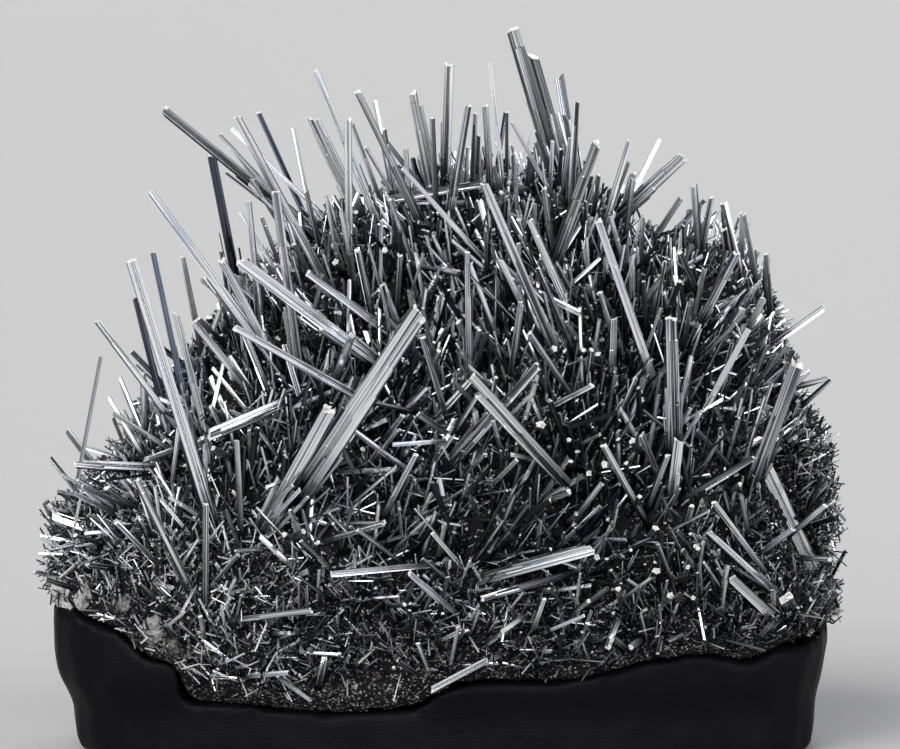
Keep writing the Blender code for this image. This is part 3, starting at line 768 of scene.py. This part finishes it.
# across and up of the end, the same of the foot, and width, all in millimetres: across and up
# are those that the eye sights on the upright middle plane
LYING_CRYSTALS = (
    (-276, 764, -201, 694, 6), (-240, 702, -211, 685, 5), (-251, 666, -241, 641, 6),
    (-224, 661, -208, 606, 6), (-184, 628, -161, 588, 6), (-129, 541, -126, 519, 10),
    (-322, 610, -301, 494, 6), (-448, 322, -466, 240, 4), (-372, 456, -370, 381, 10),
    (-411, 415, -341, 371, 5), (-459, 349, -351, 344, 5), (-445, 354, -354, 350, 4),
    (-445, 372, -401, 359, 6), (-475, 338, -408, 300, 4), (-445, 319, -404, 288, 12),
    (-408, 278, -355, 222, 5), (-351, 306, -314, 262, 5), (-326, 300, -298, 281, 5),
    (-341, 309, -295, 284, 5), (-294, 300, -294, 194, 5), (-381, 476, -345, 438, 4),
    (-285, 471, -241, 416, 5), (-270, 485, -289, 406, 5), (-245, 512, -211, 429, 9),
    (-196, 500, -172, 419, 8), (-256, 381, -252, 288, 6), (-240, 394, -239, 356, 5),
    (-229, 394, -201, 356, 5), (-410, 409, -404, 369, 5), (-71, 771, -68, 750, 6),
    (-111, 776, -86, 729, 6), (-94, 748, -55, 710, 6), (-44, 746, -44, 719, 6),
    (-59, 730, -49, 709, 6), (-25, 800, -14, 744, 6), (82, 791, 65, 750, 5), (65, 724, 74, 685, 8),
    (34, 749, 31, 709, 6), (-36, 678, 49, 679, 6), (-29, 654, 5, 648, 5), (234, 729, 222, 696, 6),
    (240, 716, 228, 656, 9), (196, 714, 195, 688, 6), (116, 768, 86, 731, 5),
    (128, 696, 138, 625, 9), (174, 652, 144, 605, 8), (199, 609, 155, 569, 5),
    (139, 756, 144, 721, 6), (150, 746, 149, 709, 6), (161, 759, 156, 719, 6),
    (300, 685, 268, 638, 8), (315, 700, 318, 625, 10), (338, 686, 326, 628, 8),
    (351, 679, 369, 631, 8), (376, 665, 392, 625, 8), (354, 646, 359, 609, 12),
    (372, 596, 351, 550, 6), (406, 614, 415, 566, 6), (384, 619, 396, 584, 6),
    (392, 619, 401, 588, 5), (482, 458, 455, 449, 6), (499, 389, 474, 375, 6),
    (121, 596, 158, 509, 6), (341, 302, 399, 224, 6), (432, 182, 464, 139, 20),
    (392, 359, 299, 300, 9), (336, 292, 282, 264, 4), (202, 374, 249, 291, 8),
    (298, 381, 289, 306, 15), (198, 566, 216, 534, 9), (216, 534, 214, 456, 10),
    (-51, 615, -58, 525, 8), (-105, 621, -86, 531, 8), (-24, 510, 1, 425, 8), (46, 522, 39, 485, 8),
    (100, 552, 89, 469, 8), (110, 515, 159, 445, 8), (-110, 394, -51, 348, 8),
    (-29, 414, 20, 381, 8), (45, 436, 15, 388, 6), (36, 455, -9, 405, 9), (-48, 412, -76, 375, 8),
    (-32, 385, -51, 354, 5), (-60, 375, 24, 381, 6), (61, 412, 18, 362, 12), (65, 406, 76, 362, 6),
    (130, 485, 132, 425, 4), (189, 450, 111, 410, 8), (199, 388, 168, 372, 5),
    (161, 316, 134, 306, 9), (95, 356, 61, 321, 6), (14, 631, 61, 591, 5), (-10, 638, 5, 604, 5),
    (-56, 348, -120, 294, 4), (-162, 166, -274, 152, 9), (-70, 278, -124, 261, 6),
    (-105, 268, -60, 234, 6), (-40, 214, 12, 166, 8), (51, 181, 130, 206, 9),
    (189, 242, 61, 209, 11), (22, 146, 10, 88, 6), (-12, 66, 74, 112, 10),
    (-176, 254, -135, 215, 6), (-11, 264, 31, 216, 6), (36, 229, 58, 191, 4),
    (130, 181, 114, 138, 6), (180, 160, 124, 136, 5), (-55, 104, -26, 84, 6),
    (-29, 125, -11, 81, 6), (209, 119, 224, 162, 8), (-302, 159, -295, 125, 6),
    (-176, 319, -224, 269, 6), (-186, 324, -229, 279, 5), (-166, 310, -214, 259, 5),
    (-139, 212, -1, 225, 9),
)
LYING_STANDS_OFF = (44 * MM, 66 * MM)
SHELF = 0.03  # metres behind the middle plane, where a line that misses the rock is stopped


def sight(across, up):
    """Direction in which the eye sees a point of the upright middle plane."""
    return (Vector((across, 0, up)) - EYE).normalized()


def on_rock(across, up):
    """Where that line of sight meets the rock, or the rock next to it."""
    ray = sight(across, up)
    hit = rock_skin.ray_cast(EYE, ray)[0]
    if hit:
        return hit, True
    level = EYE + ray * ((SHELF - EYE.y) / ray.y)
    return rock_skin.find_nearest(level)[0], False


rng = random.Random(31)
whole = new_growth()
for across, up, foot_across, foot_up, width in LYING_CRYSTALS:
    root, _ = on_rock(foot_across * MM, foot_up * MM)
    under, met = on_rock(across * MM, up * MM)
    ray = sight(across * MM, up * MM)
    if met:
        depth = under.y - rng.uniform(*LYING_STANDS_OFF)
    else:
        depth = root.y - rng.uniform(0.1, 0.5) * (up - foot_up) * MM
    tip = EYE + ray * ((depth - EYE.y) / ray.y)
    wide = width * MM
    # painted shade darkens the lowest part towards the foot, and the facets that face forwards get
    # a painted highlight
    gather(whole, prism(
        root, tip, wide, wide * rng.uniform(0.6, 0.95), rng, shade=rng.uniform(0.7, 1.3),
        strips=2 if width < 7 else 3, rings=2, foot=0.05, foot_share=0.3, blade_and_front_highlight=0.8,
    ))
    long_crystals.append((root, tip, wide))
lying = new_piece("lying_crystals", whole, silver)
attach(lying, "root")

# ---------------------------------------------------------------- crystals that point forwards
# Crystals that point forwards and show little more than their pale snapped ends.

# across, up and width, in millimetres
FORWARD_CRYSTALS = (
    (142, 496, 11), (178, 494, 8), (188, 494, 8), (196, 489, 10), (250, 431, 11), (239, 380, 11),
    (232, 352, 8), (204, 350, 12), (185, 339, 10), (162, 354, 8), (160, 381, 8), (125, 401, 16),
    (249, 310, 8), (170, 288, 8), (269, 270, 11), (270, 216, 14), (288, 185, 12), (322, 245, 8),
    (310, 221, 8), (316, 182, 8), (374, 325, 8), (195, 234, 12), (-172, 266, 9), (-196, 262, 10),
    (-154, 252, 8), (-132, 604, 11), (-76, 569, 8), (65, 724, 8),
)
FORWARD_LENGTH = (58 * MM, 84 * MM)

rng = random.Random(37)
whole = new_growth()
for across, up, width in FORWARD_CRYSTALS:
    under, _ = on_rock(across * MM, up * MM)
    ray = sight(across * MM, up * MM)
    tip = under - ray * rng.uniform(*FORWARD_LENGTH)
    root = under + Vector((rng.uniform(-18, 18), 0, rng.uniform(-26, -2))) * MM
    wide = width * MM
    gather(whole, prism(
        root, tip, wide, wide * rng.uniform(0.75, 1), rng, shade=rng.uniform(0.3, 0.6),
        facets=5, strips=2, rings=3,
    ))
    long_crystals.append((root, tip, wide))
forward = new_piece("forward_crystals", whole, silver)
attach(forward, "root")

# ---------------------------------------------------------------- grey nodules
# Rounded nodules of pale granular rock at the foot of the spray, and a small brown knob.

# across and up in millimetres as the eye sights them, radius and colour
NODULES = (
    (-474, 194, 27, (0.4, 0.395, 0.395)), (-446, 186, 14, (0.24, 0.24, 0.24)),
    (-358, 138, 18, (0.2, 0.198, 0.2)), (-338, 120, 11, (0.12, 0.115, 0.11)),
    (-400, 171, 12, (0.13, 0.13, 0.13)), (484, 166, 15, (0.38, 0.375, 0.37)),
    (-490, 290, 5, (0.2, 0.18, 0.15)),
)
NODULE_SQUASH = 0.6  # how far it stands out from the rock, as a share of its radius
NODULE_SUNK = 0.2  # how deep its middle lies, in the same way
NODULE_LUMPS = ((17 * MM, 12 * MM), (7 * MM, 5 * MM), (2.5 * MM, 1.6 * MM))  # size and height


def toned_stone(name, scale, detail, coarseness, source, result, **constants):
    """Stone in the tone that is written on each bit, made uneven by its grit."""
    made, tree, shader = new_material(name, **constants)
    tone = add_node(tree, "ShaderNodeAttribute", attribute_name="tone")
    grit = noise_texture(tree, on_object(tree), scale, detail, coarseness)
    uneven = ranged(tree, grit, source, result)
    colour = mixed_colour(tree, 1.0, tone.outputs["Color"], uneven, "MULTIPLY")
    tree.links.new(colour, shader.inputs["Base Color"])
    return made, tree, shader, grit


def new_rubble():
    """An empty mesh with the layer that every bit of stone writes: its tone."""
    bm = bmesh.new()
    bm.loops.layers.float_color.new("tone")
    return bm


def write_tone(bm, colour):
    """Writes one tone on all of a bit of stone."""
    tone = bm.loops.layers.float_color["tone"]
    for face in bm.faces:
        for loop in face.loops:
            loop[tone] = (*colour, 1)


nodule_stone, tree, shader, grit = toned_stone(
    "granular grey", 260.0, 5.0, 0.7, (0.38, 0.62), (0.3, 1.4), roughness=0.8
)
add_relief(tree, shader, grit, 0.9, 0.002)

whole = new_rubble()
for across, up, radius, colour in NODULES:
    middle = on_rock(across * MM, up * MM)[0]
    outwards = rock_skin.find_nearest(middle)[1]
    middle -= outwards * NODULE_SUNK * radius * MM
    bm = new_rubble()
    bmesh.ops.create_icosphere(bm, subdivisions=4, radius=radius * MM)
    for vert in bm.verts:
        place = vert.co + middle
        lump = sum(height * noise.noise(place / size) for size, height in NODULE_LUMPS)
        place += vert.co.normalized() * lump
        vert.co = place - outwards * (place - middle).dot(outwards) * (1 - NODULE_SQUASH)
    write_tone(bm, colour)
    gather(whole, bm)
    # nothing of the thicket grows in front of it
    side = Vector((3 * MM, 0, 0))
    long_crystals.append((middle - side, middle + side, 1.2 * radius * MM))
nodules = new_piece("grey_nodules", whole, nodule_stone)
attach(nodules, "root")

# ---------------------------------------------------------------- thicket
# Thousands of rods and needles fill the rest of the spray. They grow in loose sheaves, and the
# way that they lean changes from place to place.

# across and up in millimetres, lean from upright in degrees, draw outwards, straying, length
# and brightness
GROWTH = np.array((
    (-426, 394, -10, 0.35, 0.35, 0.8, 0.9), (-326, 431, -20, 0.35, 0.3, 1, 0.9),
    (-264, 619, -25, 0.3, 0.3, 1, 0.8), (-176, 644, -22, 0.35, 0.3, 1, 0.9),
    (-114, 706, -10, 0.35, 0.3, 1, 0.95), (-14, 756, -2, 0.35, 0.25, 1, 0.9),
    (49, 744, 2, 0.35, 0.3, 1, 0.9), (111, 681, -12, 0.4, 0.35, 1, 0.9),
    (149, 719, 10, 0.4, 0.35, 1, 0.9), (224, 681, 28, 0.4, 0.35, 1, 0.9),
    (324, 656, 12, 0.4, 0.4, 0.8, 0.95), (386, 594, 18, 0.5, 0.5, 0.6, 1),
    (449, 494, 45, 0.6, 0.6, 0.5, 1), (474, 369, 65, 0.6, 0.7, 0.5, 0.95),
    (486, 219, 80, 0.6, 0.8, 0.55, 0.9), (374, 406, 35, 0.5, 0.5, 0.9, 0.8),
    (311, 431, 8, 0.6, 0.45, 1, 0.8), (249, 394, 0, 1.3, 0.5, 1, 0.5),
    (199, 456, -15, 0.9, 0.4, 1, 0.65), (149, 531, -28, 0.6, 0.4, 1, 0.75),
    (99, 456, -38, 0.6, 0.5, 1, 0.7), (24, 556, -5, 0.6, 0.5, 1, 0.75),
    (-51, 619, -12, 0.5, 0.4, 1, 0.8), (-51, 469, 25, 0.6, 0.7, 1, 0.85),
    (-139, 519, -30, 0.5, 0.5, 1, 0.8), (-139, 381, 35, 0.5, 0.6, 1, 0.9),
    (-239, 406, -8, 0.4, 0.5, 1, 0.9), (-301, 331, -15, 0.5, 0.6, 0.85, 0.9),
    (-426, 319, -60, 0.5, 0.8, 0.7, 0.95), (-451, 256, -70, 0.5, 1, 0.5, 1.3),
    (-364, 181, 0, 0.4, 1.4, 0.42, 1.6), (-239, 181, 0, 0.4, 1.4, 0.45, 1.5),
    (-176, 281, 40, 0.5, 0.7, 0.8, 0.85), (-26, 331, 10, 0.6, 1, 0.85, 0.85),
    (49, 256, 30, 0.7, 1.1, 0.75, 0.75), (99, 181, 60, 0.6, 1, 0.7, 0.75),
    (199, 281, 10, 1.4, 0.7, 0.9, 0.32), (274, 256, 15, 1.2, 0.8, 0.8, 0.3),
    (349, 281, -20, 0.6, 0.9, 0.8, 0.42), (424, 206, -45, 0.5, 0.7, 0.7, 0.65),
    (324, 169, -30, 0.6, 0.9, 0.6, 0.35), (199, 144, 0, 0.6, 1.2, 0.5, 0.38),
    (11, 119, 0, 0.5, 1.4, 0.4, 0.45), (-114, 106, 0, 0.5, 1.4, 0.35, 0.5),
))
# upper edge of the thicket, across and up in millimetres
THICKET_EDGE = (
    (-505, 300), (-461, 330), (-414, 390), (-389, 431), (-364, 456), (-332, 481), (-314, 512),
    (-282, 544), (-257, 594), (-189, 662), (-170, 681), (-120, 694), (-51, 725), (-26, 744),
    (74, 756), (142, 762), (174, 744), (199, 706), (230, 700), (261, 652), (299, 652), (315, 694),
    (339, 681), (380, 662), (392, 625), (411, 612), (421, 556), (430, 519), (449, 481), (467, 431),
    (496, 387), (505, 330),
)
# upper edge of the mat of short needles round the foot of the spray
MAT_EDGE = (
    (-505, 350), (-300, 330), (-200, 240), (-60, 215), (100, 190), (300, 200), (400, 330),
    (505, 420),
)
# lower edge of it, where granular rock comes out above the stand
BARE_EDGE = (
    (-505, 195), (-455, 185), (-400, 150), (-340, 105), (-310, 75), (-240, 62), (-139, 78),
    (36, 92), (80, 88), (150, 90), (300, 112), (420, 125), (505, 150),
)
PROUD = (3, 6, 10, 22)  # how far needles stand out at the two ends of the rock, in millimetres
NEAREST = 12  # millimetres added to the way to each row of GROWTH, so that none rules alone
FALL = -3.0  # power with which a row of it counts for less farther off
SHEAF_SIZE = 55 * MM  # the lean of the sheaves changes over this distance
SHEAF_LEAN = 1.1
OWN_LEAN = 0.5
ROOTED = 6  # millimetres that a needle reaches into the rock
THICKET_TONES = (0.05, 0.3, 0.9, 1.4, 1.8)  # from tarnished to glittering
MAT_TONES = (0.0, 0.02, 0.05, 0.55, 1.35)
BROAD_REACH = 300 * MM  # how far in from a tip the stand is looked for, from front and back
END_REACH = 60 * MM  # the same, from the two ends
PERCH_LENGTH = 30 * MM  # loose chips stick to needles longer than this
# name, where it grows, how many, length, width, lift off the rock, how far they stray, sides
# of a needle (none for a rod) and seed
SORTS = (
    ("rods_a", "all over", 1400, (60, 130), (4.5, 10.5), (0, 0), 1.0, 0, 41),
    ("rods_c", "back", 130, (90, 140), (9.0, 15.0), (0, 0), 0.8, 0, 67),
    ("rods_b", "all over", 1400, (60, 120), (4.0, 8.0), (0, 0), 1.1, 0, 42),
    ("needles_a", "all over", 3000, (42, 100), (2.4, 4.6), (0, 0), 1.3, 6, 43),
    ("needles_b", "all over", 3000, (42, 100), (2.4, 4.6), (0, 0), 1.3, 6, 47),
    ("splinters", "all over", 11300, (14, 40), (1.2, 2.5), (0, 0), 2.0, 3, 53),
    ("mat", "foot", 14000, (9, 28), (1.6, 3.4), (0, 12), 3.0, 3, 61),
)


def height_on(line, x):
    """Height in metres of a line of (across, up) points in millimetres, at x in metres."""
    return float(np.interp(x / MM, [p[0] for p in line], [p[1] for p in line])) * MM


def sighted_on_plane(point):
    """Where the eye sees a point, on the upright middle plane."""
    share = -EYE.y / (point.y - EYE.y)
    return EYE.x + (point.x - EYE.x) * share, EYE.z + (point.z - EYE.z) * share


guards = []  # both ends of each placed crystal as the eye sees it, how far off they are, width
for root, tip, wide in long_crystals:
    # only the part that the eye sees past the rock
    free = 1.0
    for share in np.arange(0.95, 0.2, -0.1):
        point = root.lerp(tip, float(share))
        gap = (point - EYE).length
        if rock_skin.ray_cast(EYE, (point - EYE).normalized(), gap - wide - 8 * MM)[0]:
            break
        free = float(share)
    start = root.lerp(tip, free)
    guards.append((*sighted_on_plane(start), *sighted_on_plane(tip), start.y, tip.y, wide))
guards = np.array(guards)
guard_runs = guards[:, 2:4] - guards[:, 0:2]
guard_squares = np.maximum((guard_runs ** 2).sum(1), 1e-9)


def hides_a_crystal(root, tip, margin=2.0 * MM):
    """True where a needle would cross in front of one of the crystals placed one by one."""
    a, b = sighted_on_plane(root), sighted_on_plane(tip)
    steps = np.linspace(0.1, 1, 8)[:, None]
    off_x = a[0] + (b[0] - a[0]) * steps - guards[:, 0]
    off_z = a[1] + (b[1] - a[1]) * steps - guards[:, 1]
    depth = root.y + (tip.y - root.y) * steps
    along = (off_x * guard_runs[:, 0] + off_z * guard_runs[:, 1]) / guard_squares
    gap = np.hypot(off_x - guard_runs[:, 0] * along, off_z - guard_runs[:, 1] * along)
    close = (gap < guards[:, 6] * 0.5 + margin) & (along > 0) & (along < 1.03)
    in_front = depth < guards[:, 4] + (guards[:, 5] - guards[:, 4]) * along
    return bool((close & in_front).any())


def outside_stand(point, axis, reach):
    """True where the stand lies inwards of a point, which would then hang beside it."""
    inwards = Vector((0, 0, 0))
    inwards[axis] = -math.copysign(1, point[axis])
    return stand_skin.ray_cast(point, inwards, reach)[0] is not None


def any_way(rng):
    """A random direction with a random length."""
    return Vector((rng.gauss(0, 1), rng.gauss(0, 1), rng.gauss(0, 1)))


likely = np.array([area * (normal.z > -0.5) for area, _, normal in rock_faces])
likely /= likely.sum()

perches = []  # places on crystals of the thicket, for loose chips to stick to
for name, where, count, lengths, widths, lift, stray, sides, seed in SORTS:
    rng = random.Random(seed)
    picks = np.random.default_rng(seed).choice(len(rock_faces), size=count * 5, p=likely)
    whole = new_growth()
    made = 0
    for pick in picks:
        if made >= count:
            break
        _, centre, normal = rock_faces[int(pick)]
        across, up = sighted_on_plane(centre)
        if up < height_on(BARE_EDGE, across):
            continue
        if where == "back" and (centre.y < 20 * MM or normal.y < 0.1):
            continue
        if where == "foot" and up > height_on(MAT_EDGE, across) + rng.gauss(0, 25) * MM:
            continue
        gap = np.hypot(GROWTH[:, 0] - across / MM, GROWTH[:, 1] - up / MM) + NEAREST
        weight = gap ** FALL
        lean, out, astray, long_by, bright = (GROWTH[:, 2:] * weight[:, None]).sum(0) / weight.sum()
        lean = math.radians(lean)
        spot = centre / SHEAF_SIZE
        sheaf = [noise.noise(spot + Vector((0, 0, 31.7 * i))) for i in range(3)]
        strays = Vector(sheaf) * SHEAF_LEAN + any_way(rng) * OWN_LEAN * stray
        strays *= astray if rng.random() < 0.7 else 2.2
        strays -= normal * strays.dot(normal) * 0.6
        along = Vector((math.sin(lean), 0, math.cos(lean))) + normal * out * 0.5 + strays
        along.normalize()
        if along.dot(normal) < 0.2:
            along = (along + normal * (rng.uniform(0.2, 0.45) - along.dot(normal))).normalized()
        if where == "foot":
            long_by, bright = 1.0, 1.2 * bright
        length = rng.uniform(*lengths) * MM * min(1.0, long_by + 0.1)
        proud = PROUD[int(pick) % len(PROUD)] * MM
        room = (rock_right - centre.x if along.x > 0 else centre.x - rock_left) + proud
        if abs(along.x) * length > room:
            # at the two ends of the rock it lies along the surface
            along.x = math.copysign(max(0.0, room) / length, along.x)
            along.normalize()
        wide = rng.uniform(*widths) * MM * (0.35 + 0.65 * min(1.0, long_by))
        centre = centre + normal * rng.uniform(*lift) * MM
        root = centre if lift[1] else centre - along * ROOTED * MM
        tip = centre + along * length
        for _ in range(2):
            if hides_a_crystal(centre, tip):
                # it stays short next to a large crystal
                tip = centre.lerp(tip, 0.45)
        x, z = sighted_on_plane(tip)
        if z > height_on(THICKET_EDGE, x):
            # it stays short along the upper outline
            tip = centre.lerp(tip, 0.3)
            x, z = sighted_on_plane(tip)
        if z > max(height_on(THICKET_EDGE, x) + 14 * MM, up + 12 * MM):
            continue
        if not rock_left - proud - 2 * MM < tip.x < rock_right + proud + 2 * MM:
            continue
        if not cad_box[0].y - 5 * MM < tip.y < cad_box[1].y + 12 * MM:
            continue
        if outside_stand(tip, 1, BROAD_REACH) or outside_stand(tip, 0, END_REACH):
            continue
        if hides_a_crystal(centre, tip):
            continue
        shade = bright * rng.choice(THICKET_TONES)
        if where == "foot":
            shade = bright * rng.choice(MAT_TONES)
        thick = wide * rng.uniform(0.6, 1)
        if sides:
            # painted shade at the foot of each needle, less of it in the mat
            foot = 0.45 if where == "foot" else -0.45
            bm = needle(root, tip, wide, thick, rng, shade, sides, foot)
        else:
            bm = prism(
                root, tip, wide, thick, rng, shade, strips=1, rings=2,
                white=rng.choice((0.1, 0.4, 0.9)),
            )
        gather(whole, bm)
        made += 1
        if length > PERCH_LENGTH:
            perches.append(centre.lerp(tip, rng.uniform(0.15, 0.95)))
    piece = new_piece(name, whole, frosted if where == "foot" else silver)
    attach(piece, "root")

# ---------------------------------------------------------------- crumbs
# Angular broken bits of stibnite and quartz lie all over the rock and between the crystals. Most
# are pale or dark grey, and some near the stand are brown or pink.
CRUMBS = 10000  # on the rock
CRUMB_SIZE = (1.6, 5.0)  # in millimetres
CHIPS = 5500  # on the needles
CHIP_SIZE = (1.8, 4.6)
BROWN_SHARE = 0.2  # of the crumbs near the stand
GREYS = (
    (0.02, 0.02, 0.024), (0.09, 0.09, 0.1), (0.24, 0.24, 0.25), (0.5, 0.5, 0.5),
    (0.75, 0.745, 0.73),
)
BROWNS = ((0.05, 0.038, 0.03), (0.14, 0.11, 0.085), (0.26, 0.2, 0.185))

crumb_stone = toned_stone(
    "crumbs", 600.0, 3.0, 0.5, (0.35, 0.65), (0.45, 1.0), roughness=0.35, metallic=0.45
)[0]


def crumb(at, size, colour, rng):
    """A small angular bit: a box with its corners pushed about."""
    bm = new_rubble()
    bmesh.ops.create_cube(bm, size=size)
    squash = [rng.uniform(0.35, 1.3) for _ in range(3)]
    for vert in bm.verts:
        vert.co = Vector([c * by * rng.uniform(0.35, 1.5) for c, by in zip(vert.co, squash)])
    axis = any_way(rng)
    turn = Matrix.Rotation(rng.uniform(0, math.pi), 4, axis)
    bmesh.ops.transform(bm, matrix=Matrix.Translation(at) @ turn, verts=bm.verts)
    write_tone(bm, colour)
    return bm


rng = random.Random(71)
picks = np.random.default_rng(71).choice(len(rock_faces), size=CRUMBS * 5, p=likely)
whole = new_rubble()
made = 0
for pick in picks:
    if made >= CRUMBS:
        break
    _, centre, normal = rock_faces[int(pick)]
    across, up = sighted_on_plane(centre)
    low = up < height_on(MAT_EDGE, across)
    if not low and rng.random() < 0.6:
        continue
    aside = Vector((rng.uniform(-4, 4), rng.uniform(-4, 4), rng.uniform(-4, 4))) * MM
    at = centre + aside + normal * rng.uniform(0, 2) * MM
    if outside_stand(at, 1, BROAD_REACH) or hides_a_crystal(at, at + normal * MM, -1 * MM):
        continue
    brown = low and rng.random() < BROWN_SHARE
    size = rng.uniform(*CRUMB_SIZE) * MM
    gather(whole, crumb(at, size, rng.choice(BROWNS if brown else GREYS[:3] + GREYS), rng))
    made += 1
crumbs = new_piece("crumbs", whole, crumb_stone)
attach(crumbs, "root")

rng = random.Random(73)
whole = new_rubble()
for at in rng.sample(perches, CHIPS):
    size = rng.uniform(*CHIP_SIZE) * MM
    gather(whole, crumb(at, size, rng.choice(GREYS[1:] + GREYS[3:]), rng))
chips = new_piece("chips", whole, crumb_stone)
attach(chips, "root")
